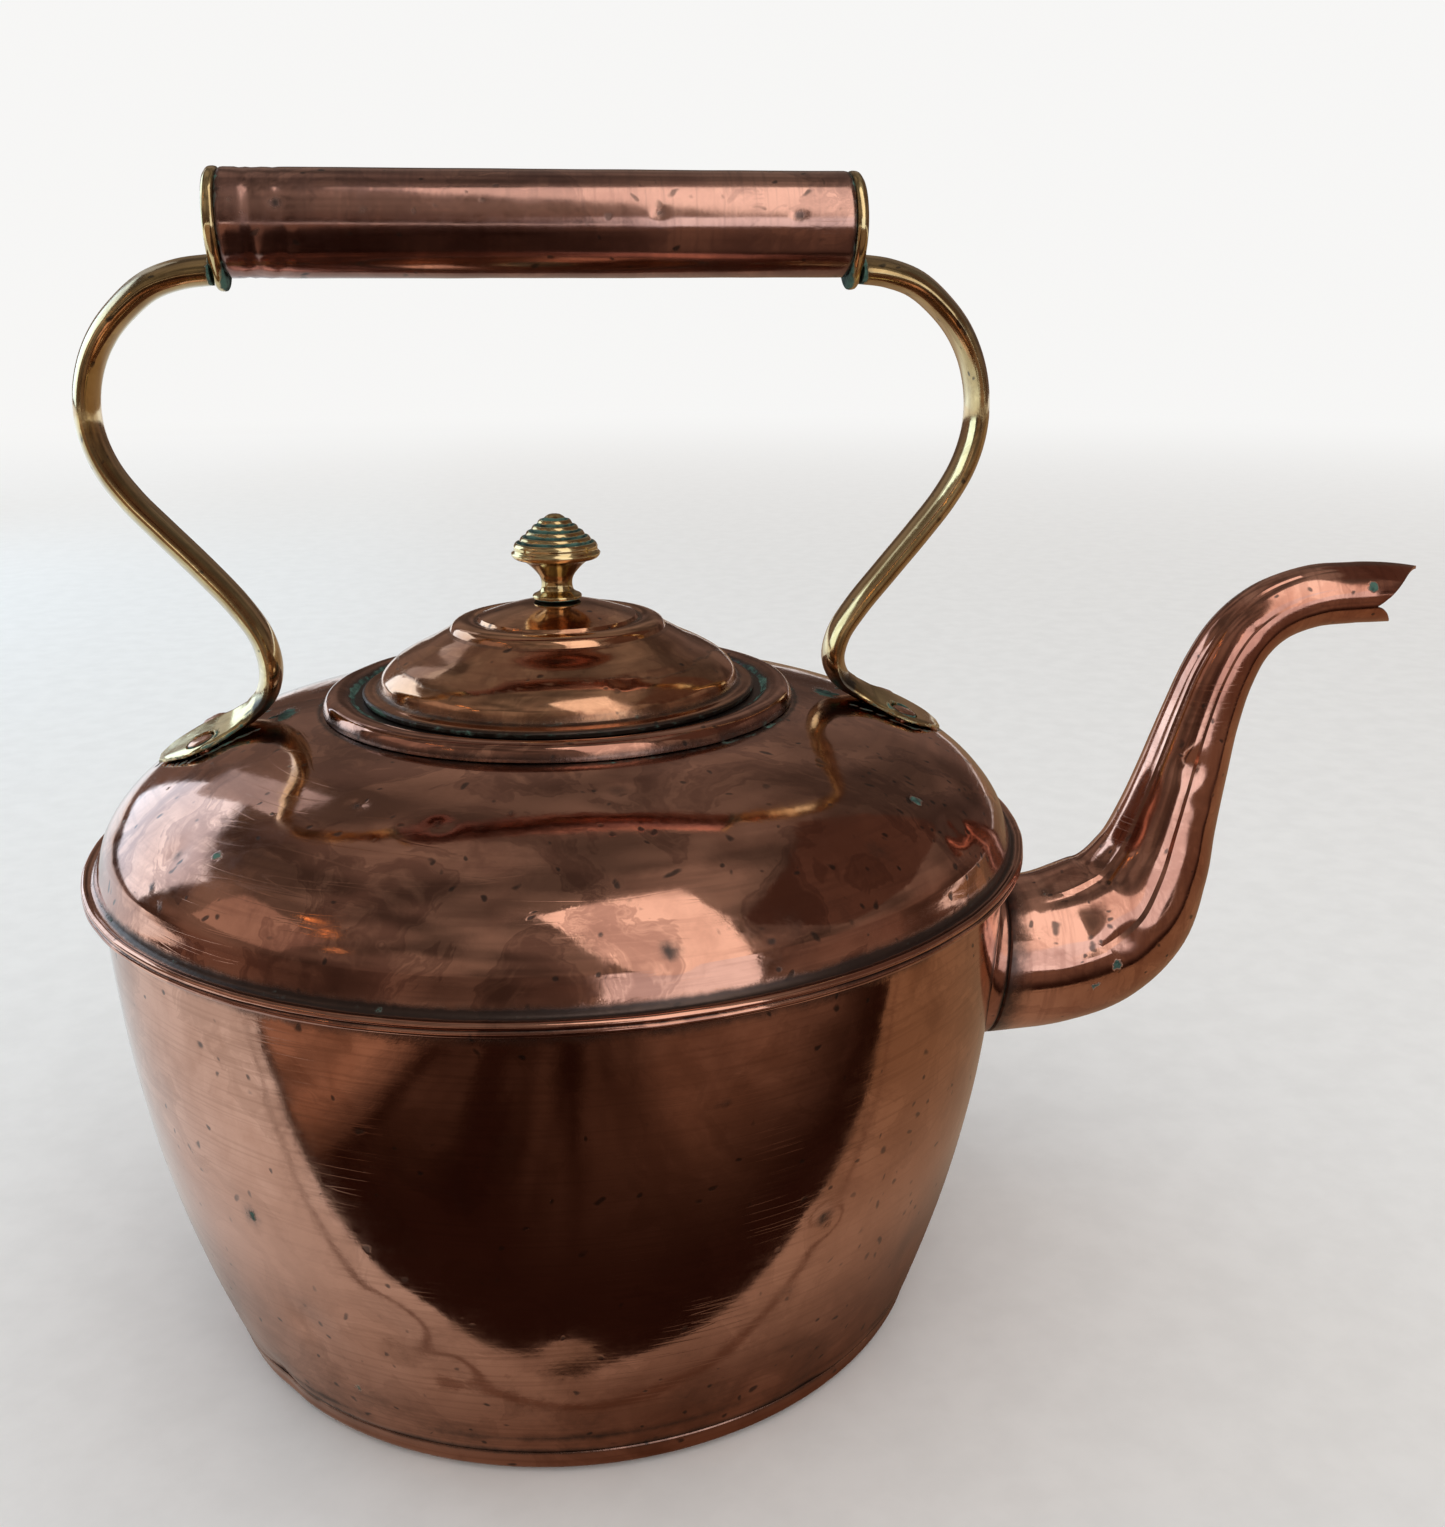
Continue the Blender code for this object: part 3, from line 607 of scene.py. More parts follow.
def dome():
    """The domed shoulder, its dark trough and the hem folded round the wall's flange."""
    hem_bottom = RIM_TOP_Z - 3 * SHEET - 2 * GAP
    rim = RIM_RADIUS - 0.15
    radii = [*np.linspace(DOME_OPENING_RADIUS, 104, 44), *np.linspace(105, DOME_END_RADIUS, 16)]
    outer = [(r, dome_z(r)) for r in radii]
    trough = spline(
        [
            (DOME_END_RADIUS, dome_z(DOME_END_RADIUS)), (DOME_RADIUS + 0.1, RIM_TOP_Z + 2.0),
            (DOME_RADIUS + 1.0, RIM_TOP_Z + 0.1), (DOME_RADIUS + 2.4, RIM_TOP_Z - 0.35),
            (rim - 0.9, RIM_TOP_Z - 0.05), (rim - 0.1, RIM_TOP_Z - 0.6), (rim - 0.1, RIM_TOP_Z - 1.1),
            *crisp(rim - 0.45, RIM_TOP_Z - 1.6), (rim, RIM_TOP_Z - 2.0), (rim - 0.05, hem_bottom + 0.5),
            (rim - 0.6, hem_bottom),
        ],
        0.45,
    )
    hem = [
        (HEM_INNER_RADIUS, hem_bottom), (HEM_INNER_RADIUS, hem_bottom + SHEET),
        (RIM_RADIUS - SHEET, hem_bottom + SHEET), (RIM_RADIUS - SHEET, RIM_TOP_Z - SHEET),
        (DOME_RADIUS + 0.6, RIM_TOP_Z - SHEET),
    ]
    inner = [(DOME_OPENING_RADIUS, dome_z(DOME_OPENING_RADIUS) - SHEET)]
    for radius in np.linspace(56, 116.2, 22):
        slope = dome_slope(radius)
        length = math.hypot(1, slope)
        inner.append((radius + SHEET * slope / length, dome_z(radius) - SHEET / length))
    outline = outer + trough[1:] + hem + inner[::-1]
    piece = turned("shoulder", outline, BODY_SIDES)
    places = [rivet_place(side, across) for _, side in SIDES for across, _ in ACROSS]
    cut(piece, [drill(RIVET_HOLE_RADIUS, HOLE_LOW, HOLE_HIGH, place, 24) for place in places])
    points = points_of(piece)
    radius = radius_of(points)
    feet = near(points, (RIVET_X, 0, FOOT_Z), 40) + near(points, (-RIVET_X, 0, FOOT_Z), 40)
    free = np.clip((radius - BEAD_RADIUS) / 14, 0, 1) * np.clip(1 - feet, 0, 1)
    free *= np.clip((117 - radius) / 4, 0, 1)
    sway = 0.3 * ripple(points, 42, 5) + 0.10 * ripple(points, 17, 6) - 0.3
    dents = -marks(points, DOME_DENTS, dome_point) * np.clip((118 - radius) / 2, 0, 1)
    push(piece, sway * free + dents, from_axis(points, DOME_CENTRE_Z))
    at_rim = np.clip((radius - DOME_RADIUS) / 2, 0, 1)
    push(piece, -0.14 * at_rim * (1 + ripple(points, 9, 7)), radial(points))
    angle = angle_of(points)
    breaks = 0.75 + 0.4 * ripple(points, 14, 8)
    trough_mask = band(radius, DOME_RADIUS + 0.9, 2.0) * band(points[:, 2], RIM_TOP_Z, 3.2)
    cleaner = near(points, (-DOME_RADIUS, -20, RIM_TOP_Z), 62)
    seat = band(radius, BEAD_RADIUS + 0.6, 1.7)
    # Crust and painted shade round each foot of the handle.
    foot_edge = foot_crust_and_shade(points)
    fold = band(points[:, 2], RIM_TOP_Z - 1.6, 0.35) * (radius > RIM_RADIUS - 1.5)
    mark(
        piece,
        verdigris=marks(points, DOME_GREEN, dome_point)
        + 0.50 * trough_mask * breaks
        + 0.6 * seat * breaks
        + 0.95 * foot_edge
        + 0.2 * fold,
        grime=marks(points, DOME_DARK, dome_point)
        + 1.1 * trough_mask * (1 - 0.62 * cleaner)
        + 0.8 * seat
        + 0.8 * foot_edge
        + 0.8 * fold
        + 0.10 * band(radius, 112, 5) * (0.6 + 0.4 * np.sin(5 * angle)),
        wear=at_rim * (points[:, 2] > RIM_TOP_Z - 1.2) * 0.9 + 0.3 * band(radius, 84, 14),
        pitting=marks(points, DOME_PITTED, dome_point),
    )
    return piece


def foot_outline(x):
    """Half the width of the strap's foot at this distance from the axis."""
    rows = [(76.0, 8.6), (80.0, 10.4)] + [station[:2] for station in FOOT_STATIONS] + [(FOOT_TIP_X, 0)]
    places, widths = zip(*rows)
    return np.interp(x, places, widths, left=0, right=0)


def foot_crust_and_shade(points):
    """The crust and painted shade round the edge of each foot, thickest towards the lid, with painted shade
    under the strap's bend.
    """
    total = np.zeros(len(points))
    for side in (-1, 1):
        x = points[:, 0] * side
        y = np.abs(points[:, 1])
        beside = band(y - foot_outline(x), 0.3, 1.5) * (x > 72) * (x < 104)
        tip = near(points, (side * 104, 0, dome_z(104)), 2.2)
        # Painted shade under the strap's bend, behind the foot.
        shade_under_strap = band(x, 71, 5.5) * band(y, 0, 12) * (x < 78)
        total = np.maximum(total, np.maximum(np.maximum(beside, tip), 0.85 * shade_under_strap))
    return total * (points[:, 2] > 140)


def seat_ring():
    """The bead round the opening, the ledge for the lid and the throat below it."""
    foot_z = dome_z(BEAD_RADIUS) + GAP
    ledge = LEDGE_RADIUS
    bead = BEAD_RADIUS
    outside = THROAT_RADIUS + SHEET
    under = LEDGE_Z - SHEET
    outline = spline(
        [
            (THROAT_RADIUS, LEDGE_Z), *crisp(ledge, LEDGE_Z), (ledge + 1.2, LEDGE_Z + 1.0),
            (ledge + 3.8, BEAD_TOP_Z), (bead - 1.3, BEAD_TOP_Z - 0.8), (bead, foot_z + 0.6),
            *crisp(bead, foot_z), *crisp(bead - SHEET, foot_z + 0.15), (bead - 2.0, BEAD_TOP_Z - 1.7),
            (ledge + 3.8, BEAD_TOP_Z - SHEET), (ledge + 1.7, LEDGE_Z + 0.1), (ledge + 0.4, under),
            *crisp(outside, under), *crisp(outside, THROAT_BOTTOM_Z),
            *crisp(THROAT_RADIUS, THROAT_BOTTOM_Z), (THROAT_RADIUS, LEDGE_Z),
        ],
        0.8,
    )
    piece = turned("seat_bead", outline[:-1], LID_SIDES)
    points = points_of(piece)
    radius = radius_of(points)
    wave = 0.14 * ripple(points, 12, 9) * np.clip((radius - LEDGE_RADIUS) / 3, 0, 1)
    points[:, 2] += wave
    place_points(piece, points)
    # The ledge's dark band is verdigris crust with painted shadow in the gap under the lid's flange.
    mark(
        piece,
        verdigris=0.7 * band(radius, LEDGE_RADIUS + 0.3, 2.0) + 0.34 * band(radius, BEAD_RADIUS, 0.8),
        grime=1.2 * band(radius, LEDGE_RADIUS - 0.6, 3.4) + 0.6 * band(radius, BEAD_RADIUS, 0.9),
        wear=0.8 * band(radius, LEDGE_RADIUS + 4, 1.8),
    )
    return piece


def lid():
    """The raised lid: flange, domed side, stepped bead and low crown."""
    bore = TENON_RADIUS + GAP
    outer = spline(
        [
            (bore, CROWN_Z), (8.0, 189.6), (14.7, 188.0), *crisp(20.3, 186.2), (21.0, 185.2),
            *crisp(21.8, 185.2), (23.0, 185.8), (25.4, 185.5), (27.2, 184.5), *crisp(28.0, 183.1),
            (31.0, 181.5), (34.0, 179.8), (39.4, 177.2), (43.5, 174.6), (46.0, 171.8), (46.8, 169.4),
            (48.0, 168.8), (LID_RADIUS - 0.9, 168.5), (LID_RADIUS - 0.1, 167.9),
            *crisp(LID_RADIUS - 0.3, LEDGE_Z + GAP),
        ],
        0.9,
    )
    inner = spline(
        [
            (46.3, LEDGE_Z + GAP), (46.0, 169.4), (45.2, 171.4), (42.7, 173.9), (38.9, 176.4),
            (33.6, 178.9), (26.9, 182.4), (26.0, 184.0), (22.0, 184.3), (14.4, 187.1), (8.0, 188.7),
            (bore, CROWN_Z - SHEET),
        ],
        2.5,
    )
    piece = turned("lid", outer + inner, LID_SIDES, sharp=30)
    points = points_of(piece)
    radius = radius_of(points)
    side = np.clip((radius - 28) / 4, 0, 1) * np.clip((47 - radius) / 3, 0, 1)
    sway = 0.14 * ripple(points, 24, 10) + 0.05 * ripple(points, 9, 11) - 0.1
    push(piece, side * sway - spots(points, LID_DENTS), from_axis(points, LID_CENTRE_Z))
    outside = points[:, 2] > 168
    angle = angle_of(points)
    tide = 41 + 2.2 * np.sin(2 * angle + 0.6) + 1.2 * np.sin(5 * angle) + 1.4 * ripple(points, 8, 12)
    # The flange's edge is verdigris crust with painted shadow in the gap over the ledge.
    mark(
        piece,
        verdigris=0.6 * band(radius, 21.4, 1.0) * outside
        + 0.42 * band(radius, 47.0, 1.3)
        + 0.5 * band(radius, LID_RADIUS, 1.0),
        grime=0.95 * band(radius, 21.4, 0.8) * outside
        + 0.5 * band(radius, 28.4, 0.9) * outside
        + 0.7 * band(radius, 47.2, 1.5)
        + 1.1 * band(radius, LID_RADIUS, 1.3)
        + 0.5 * band(radius, tide, 0.8) * outside
        + 0.35 * (radius < 20.3) * (0.6 + 0.5 * ripple(points, 7, 13)),
        wear=0.9 * band(radius, 25.4, 2.2) * outside + 0.5 * (radius > tide) * (radius < 46),
    )
    return piece


def skirt():
    """The strip soldered inside the lid, which drops into the throat."""
    top = LEDGE_Z
    inner = SKIRT_RADIUS - SHEET
    outline = spline(
        [
            *crisp(SKIRT_RADIUS, top), (SKIRT_RADIUS, SKIRT_BOTTOM_Z + 0.3),
            (SKIRT_RADIUS - 0.45, SKIRT_BOTTOM_Z), (inner, SKIRT_BOTTOM_Z + 0.3), *crisp(inner, top),
        ],
        1.2,
    )
    piece = turned("lid_guide_strip", outline, LID_SIDES)
    points = points_of(piece)
    green_edge = 0.4 * band(points[:, 2], SKIRT_BOTTOM_Z, 2)
    mark(piece, grime=0.4 + 0.3 * ripple(points, 6, 14), verdigris=green_edge)
    return piece


def knob():
    """The turned knob: a ribbed cone, a bright cap edge, a waist and a bead on the crown."""
    cone = [(0, KNOB_TOP_Z), (1.5, KNOB_TOP_Z - 0.15), (2.9, KNOB_TOP_Z - 1.2)]
    rib_run = (KNOB_CAP_RADIUS - 3.6) / KNOB_RIBS
    rib_fall = (KNOB_TOP_Z - 2.2 - KNOB_CAP_Z) / KNOB_RIBS
    ribs = [(3.0 + rib * rib_run, KNOB_TOP_Z - 1.5 - rib * rib_fall) for rib in range(KNOB_RIBS)]
    for radius, z in ribs:
        cone += [
            *crisp(radius, z), (radius + 0.55 * rib_run, z + 0.1),
            (radius + 0.95 * rib_run, z - 0.65 * rib_fall), (radius + 0.9 * rib_run, z - rib_fall),
        ]
    cap = KNOB_CAP_RADIUS
    cap_z = KNOB_CAP_Z
    tenon = TENON_RADIUS
    outline = spline(
        cone
        + [
            *crisp(cap - 0.6, cap_z + 0.1), (cap, cap_z - 0.5), (cap - 0.7, cap_z - 1.7),
            (cap - 2.4, 200.6), (8.0, 200.1), (5.9, 198.2), (4.4, 196.2), (4.0, 194.4), (4.4, 192.6),
            *crisp(5.4, 191.9), (6.2, 191.5), (6.4, 191.0), *crisp(6.1, KNOB_BASE_Z),
            *crisp(tenon, KNOB_BASE_Z), *crisp(tenon, 187.2), (4.0, 187.2), (3.4, 186.3), (0, 186.1),
        ],
        0.45,
    )
    piece = turned("knob", outline, KNOB_SIDES, sharp=50)
    points = points_of(piece)
    radius = radius_of(points)
    grooves = np.zeros(len(points))
    for rib_radius, z in ribs:
        distance = np.hypot(radius - rib_radius, points[:, 2] - z)
        grooves = np.maximum(grooves, np.exp(-((distance / 0.9) ** 2)))
    # The waist and the underside of the cap are darker.
    neck = band(points[:, 2], 197.5, 4.5) * (radius < 9)
    mark(
        piece,
        verdigris=1.0 * grooves + 0.95 * band(points[:, 2], KNOB_BASE_Z, 0.6),
        grime=0.5 * grooves + 0.5 * band(points[:, 2], KNOB_BASE_Z, 0.6) + 0.3 * band(points[:, 2], 200, 2),
        tarnish=0.9 * neck,
        wear=band(radius, KNOB_CAP_RADIUS, 1.2) + 0.5 * (points[:, 2] > KNOB_CAP_Z + 1) * (1 - grooves),
    )
    return piece


# ---- Spout ----


def on_wall(y, z, clearance):
    """The point of the body's surface at this y and z on the spout's side, moved out along X."""
    return (math.sqrt(wall_radius(z) ** 2 - y * y) + clearance, y, z)


def root_ring(radius, clearance):
    """A ring round the spout's axis that lies this far off the wall."""
    ring = []
    for side in range(SPOUT_SIDES):
        angle = math.tau * side / SPOUT_SIDES
        height = SPOUT_AXIS_Z + radius * math.cos(angle)
        ring.append(on_wall(-radius * math.sin(angle), height, clearance))
    return ring


def collar():
    """The short neck brazed to the wall, with a lip that grips the spout's root."""
    seam = GAP + COLLAR_DEPTH
    end = seam + COLLAR_SLEEVE_LENGTH
    root = SPOUT_ROOT_RADIUS
    flare = root + COLLAR_FLARE
    sleeve = COLLAR_SLEEVE_RADIUS
    outer = spline(
        [
            *crisp(flare, GAP), (root + 1.0, GAP + 0.9), (root + 0.4, GAP + 2.2), (root + 0.1, GAP + 4.2),
            (root + 0.1, seam - 0.6), *crisp(root - 0.4, seam), *crisp(sleeve, seam), *crisp(sleeve, end),
            *crisp(sleeve - SHEET, end), (sleeve - SHEET, GAP),
        ],
        0.7,
    )
    piece = lofted("root_collar", [root_ring(r, clearance) for r, clearance in outer], closed=True)
    points = points_of(piece)
    out = points[:, 0] - np.sqrt(np.maximum(WALL_RADIUS**2 - points[:, 1] ** 2, 0))
    out -= np.array([wall_radius(z) - WALL_RADIUS for z in points[:, 2]])
    mark(
        piece,
        verdigris=0.35 * band(out, GAP, 0.8) + 0.45 * band(out, seam, 0.8),
        grime=0.25 + 0.8 * band(out, GAP, 1.2) + 0.9 * band(out, seam, 1.0),
        tarnish=0.7,
    )
    return piece


def mouth_reach(angle):
    """How far the edge reaches past the mouth's centre: a long upper lip, a notch and a short lower lip."""
    turn = math.degrees(min(angle, math.tau - angle))
    if turn <= MOUTH_NOTCH:
        return MOUTH_LEAST + UPPER_LIP * (1 - turn / MOUTH_NOTCH) ** 0.8
    return MOUTH_LEAST + LOWER_LIP * ((turn - MOUTH_NOTCH) / (180 - MOUTH_NOTCH)) ** 0.45


def facet(angle, along):
    """How much the spout's hammered flats draw the section in at this angle from its top."""
    half = math.radians(FLAT_HALF_WIDTH)
    total = 0
    for degrees, strength in SPOUT_FLATS:
        away = abs((angle - math.radians(degrees) + math.pi) % math.tau - math.pi)
        if away < half:
            total = max(total, strength * (math.cos(half) / math.cos(away) - math.cos(half)))
    return total * min(along * 5, 1) * min((1 - along) * 6, 1)


def spout_ring(centre, top, radius, along):
    """A section of the swan neck, square to its middle line."""
    ring = []
    for side in range(SPOUT_SIDES):
        angle = math.tau * side / SPOUT_SIDES
        flat = radius * (1 - 0.55 * facet(angle, along))
        across = Vector((0, -flat * math.sin(angle), 0))
        ring.append(tuple(centre + top * (flat * math.cos(angle)) + across))
    return ring


def mouth_rings(radius, shares):
    """Rings from the mouth's centre out to its cut edge."""
    centre_x, centre_z, _ = MOUTH_CENTRE
    rings = []
    for share in shares:
        ring = []
        for side in range(SPOUT_SIDES):
            angle = math.tau * side / SPOUT_SIDES
            out = mouth_reach(angle) * share
            tip = (out / (UPPER_LIP + MOUTH_LEAST)) ** 2
            height = radius * math.cos(angle)
            droop = LIP_DROOP * tip if height > 0 else 0
            half_width = radius * (1 - LIP_TAPER * tip)
            ring.append((centre_x + out, -half_width * math.sin(angle), centre_z + height - droop))
        rings.append(ring)
    return rings


def spout():
    """The swan neck, hammered from sheet, from its root on the collar to the beaked mouth."""
    clearance = GAP + COLLAR_DEPTH + 0.1
    start = wall_radius(SPOUT_AXIS_Z) + clearance
    root = (start, SPOUT_AXIS_Z, SPOUT_ROOT_RADIUS)
    path = spline([root] + SPOUT_STATIONS + [MOUTH_CENTRE], 1.8)
    outer = [root_ring(SPOUT_ROOT_RADIUS - 0.4, clearance), root_ring(SPOUT_ROOT_RADIUS, clearance + 0.6)]
    inner = [root_ring(SPOUT_ROOT_RADIUS - SHEET, clearance)]
    for number in range(1, len(path) - 1):
        before, here, after = path[number - 1 : number + 2]
        run = Vector((after[0] - before[0], 0, after[1] - before[1])).normalized()
        top = Vector((-run.z, 0, run.x))
        centre = Vector((here[0], 0, here[1]))
        if here[0] - start < SPOUT_ROOT_LENGTH:
            continue
        along = number / len(path)
        outer.append(spout_ring(centre, top, here[2], along))
        if number % 3 == 0:  # the inside needs fewer rings
            inner.append(spout_ring(centre, top, here[2] - SHEET, along))
    outer += mouth_rings(MOUTH_CENTRE[2], np.linspace(0, 1, 12))
    inner += mouth_rings(MOUTH_CENTRE[2] - SHEET, np.linspace(0, 1, 5))
    piece = lofted("swan_neck", outer + inner[::-1], closed=True, sharp=34)
    points = points_of(piece)
    flow = spout_flow(points, path)
    sway = 0.12 * ripple(points, 26, 15) + 0.05 * ripple(points, 9, 16) - 0.08
    push(piece, sway * np.clip((points[:, 0] - 134) / 12, 0, 1) - spots(points, SPOUT_DENTS), flow)
    seam = band(points[:, 0] - root_line(points, clearance), 0.3, 1.0)
    mark(
        piece,
        verdigris=spots(points, SPOUT_GREEN) + 0.4 * seam,
        grime=0.9 * seam
        + spots(points, SPOUT_DARK)
        + 0.5 * near(points, (146, -21, 82), 9) * (0.5 + 0.5 * ripple(points, 4, 17)),
        wear=0.8 * band(points[:, 0], 240, 7) + 0.35 * band(points[:, 2], 130, 30),
        tarnish=spots(points, SPOUT_TARNISH),
        pitting=spots(points, SPOUT_PITTED),
    )
    return piece


def root_line(points, clearance):
    """How far along X the spout's saddle-cut root lies at each point's y and z."""
    radius = np.array([wall_radius(z) for z in points[:, 2]])
    return np.sqrt(np.maximum(radius**2 - points[:, 1] ** 2, 0)) + clearance


def spout_flow(points, path):
    """Directions away from the spout's middle line."""
    line = np.array([(x, 0, z) for x, z, _ in path])
    nearest = line[np.argmin(((points[:, None, :] - line[None]) ** 2).sum(2), axis=1)]
    return unit(points - nearest)


# ---- Handle ----


def rounded(corners, ridge):
    """Rounds a closed section except at its ridge, and keeps its full width and depth."""
    shape = corners
    for _ in range(2):
        smoother = []
        for number, here in enumerate(shape):
            before = shape[number - 1]
            after = shape[(number + 1) % len(shape)]
            corner = [here] if np.allclose(here, ridge) else []
            smoother += [0.75 * here + 0.25 * before] + corner + [0.75 * here + 0.25 * after]
        shape = smoother
    width = max(abs(p[0]) for p in shape)
    depth = max(-min(p[1] for p in shape), TINY)
    full = max(-corner[1] for corner in corners)
    return [np.array((p[0] / width, p[1] if p[1] > 0 else p[1] * full / depth)) for p in shape]


def ridged(right, bottom):
    """A rounded section with a crisp ridge on top, from the corners down its right side."""
    left = [(-x, y) for x, y in reversed(right)]
    corners = [np.array(c, float) for c in [(0, 1)] + right + [(0, bottom)] + left]
    return rounded(corners, corners[0])


def strap_section(x, z, run, thickness, half_width):
    """A ridged section across the strap, with a rounded back."""
    out = Vector((-run.z, 0, run.x))
    centre = Vector((x, 0, z))
    section = []
    for share, height in ridged([(0.5, 0.62), (1, -0.15), (0.6, -0.85)], -1):
        across = Vector((0, share * half_width, 0))
        section.append(centre + out * (height * thickness / 2) + across)
    return section


def foot_section(x, half_width, ridge, edge):
    """A section of the leaf-shaped foot, whose underside follows the shoulder."""
    middle = (edge + 0.4 * (ridge - edge)) / ridge
    section = []
    for share, height in ridged([(0.5, middle), (1, edge / ridge), (0.9, 0)], 0):
        y = share * half_width
        section.append(Vector((x, y, dome_z(math.hypot(x, y)) + GAP + height * ridge)))
    return section


def blended(one, two, share):
    """The section this share of the way from one to two."""
    return [a.lerp(b, share) for a, b in zip(one, two)]


def strap(name, side):
    """One S-shaped strap with a ridge down its outside, and rivet seats in its foot."""
    top_z = STRAP_STATIONS[0][1]
    bottom_z = STRAP_STATIONS[-1][1]
    stations = []
    for x, z, thickness, half_width in STRAP_STATIONS:
        down = (top_z - z) / (top_z - bottom_z)
        sag = side * STRAP_SKEW * math.sin(math.pi * down**2)
        stations.append((x, z - sag, thickness, half_width))
    fine = spline(stations, 1.5)
    x_foot = FOOT_STATIONS[0][0]
    ends = [np.array((fine[0][0] - 8, fine[0][1]))] + [row[:2] for row in fine]
    ends.append(np.array((x_foot, dome_z(x_foot) + 2.6)))
    sections = []
    for number, (x, z, thickness, half_width) in enumerate(fine):
        before = ends[number]
        after = ends[number + 2]
        run = Vector((after[0] - before[0], 0, after[1] - before[1])).normalized()
        if number == 0:
            run = Vector((1, 0, 0))
        sections.append(strap_section(x, z, run, thickness, half_width))
    foot = [foot_section(*row) for row in spline(FOOT_STATIONS, 0.9)]
    sections += [blended(sections[-1], foot[0], share) for share in (0.3, 0.65)]
    sections += foot
    turned_round = [[(side * p.x, side * p.y, p.z) for p in section] for section in sections]
    piece = lofted(name, turned_round, sharp=28)
    places = [rivet_place(side, across) for across, _ in ACROSS]
    tools = []
    for place in places:
        tools.append(drill(RIVET_HOLE_RADIUS, HOLE_LOW, HOLE_HIGH, place, 24))
        tools.append(drill(RIVET_SEAT_RADIUS, RIVET_SEAT_HEIGHT, HOLE_HIGH, place, 40))
    cut(piece, tools)
    points = points_of(piece)
    x = points[:, 0] * side
    on_foot = (points[:, 2] < 166) & (x > 80)
    seats = np.zeros(len(points))
    for place in places:
        seat = (place.translation + UP * SEAT_EDGE_HEIGHT * MM) / MM
        distance = np.linalg.norm(points - np.array(seat), axis=1)
        seats = np.maximum(seats, band(distance, RIVET_SEAT_RADIUS + 0.1, 1.0))
    edge = band(np.abs(points[:, 1]) - foot_outline(x), 0, 0.8) * on_foot
    joint = band(x, STRAP_STATIONS[0][0], 1.8 if side > 0 else 1.2) * (points[:, 2] > 262)
    bend = band(points[:, 2], 166, 5) * (x < 78)
    ridge = band(points[:, 1], 0, 1.6)
    mark(
        piece,
        verdigris=0.7 * seats
        + 0.6 * edge
        + 0.9 * joint
        + 0.45 * bend * (0.6 + 0.6 * ripple(points, 5, 18)),
        grime=0.35 * seats
        + 0.3 * edge
        + 0.5 * joint
        + 0.55 * bend
        + 0.55 * np.clip(np.abs(points[:, 1]) / 7.5 - 0.45, 0, 1) * ~on_foot,
        wear=ridge + 0.7 * on_foot,
    )
    return piece


def tube():
    """The seamed copper tube that the hand holds, creased and pitted by use."""
    inner = GRIP_RADIUS - SHEET
    half = GRIP_HALF_LENGTH
    outline = [(GRIP_RADIUS - 0.5, half), (GRIP_RADIUS - 0.1, half - 0.5)]
    outline += [(GRIP_RADIUS, z) for z in np.linspace(half - 1.2, 1.2 - half, 120)]
    outline += [(GRIP_RADIUS - 0.1, 0.5 - half), (GRIP_RADIUS - 0.5, -half)]
    outline += [(inner, -half), (inner, 0), (inner, half)]
    piece = turned("tube", outline, TUBE_SIDES)
    # Laid along X, and pushed away from that axis
    points = points_of(piece)[:, [2, 1, 0]] * np.array((1, -1, 1))
    away = radial(points[:, [1, 2, 0]])[:, [2, 0, 1]]
    creases = np.zeros(len(points))
    for x, slant, half_width, depth in GRIP_CREASES:
        creases += depth * band(points[:, 0] + slant * points[:, 1], x, half_width)
    sway = 0.1 * ripple(points, 30, 19) + 0.05 * ripple(points, 9, 20) - 0.12
    flat = 0.3 * band(points[:, 2], -5, 3) * (points[:, 1] < 0)
    points = points + away * (sway - creases - spots(points, GRIP_PITS) - flat)[:, None]
    dark = spots(points, GRIP_DARK)
    points[:, 2] += GRIP_Z
    place_points(piece, points)
    face_outwards(piece.data)
    # Painted shade: the grip darkens along its underside.
    shaded_underside = np.clip((GRIP_Z + 1 - points[:, 2]) / 5, 0, 1)
    ends = band(np.abs(points[:, 0]), half, 1.6)
    seam = band(np.arctan2(points[:, 1], points[:, 2] - GRIP_Z), 2.5, 0.06)
    worn = near(points, (27, -12.5, GRIP_Z + 2), 2.6)
    mark(
        piece,
        verdigris=0.5 * ends + 0.4 * dark,
        grime=0.7 * ends + 0.5 * seam + 0.9 * dark + 0.5 * worn,
        wear=0.5 * band(points[:, 2], GRIP_Z + 3, 6),
        tarnish=1.3 * shaded_underside * (0.85 + 0.5 * ripple(points, 14, 28)),
    )
    return piece


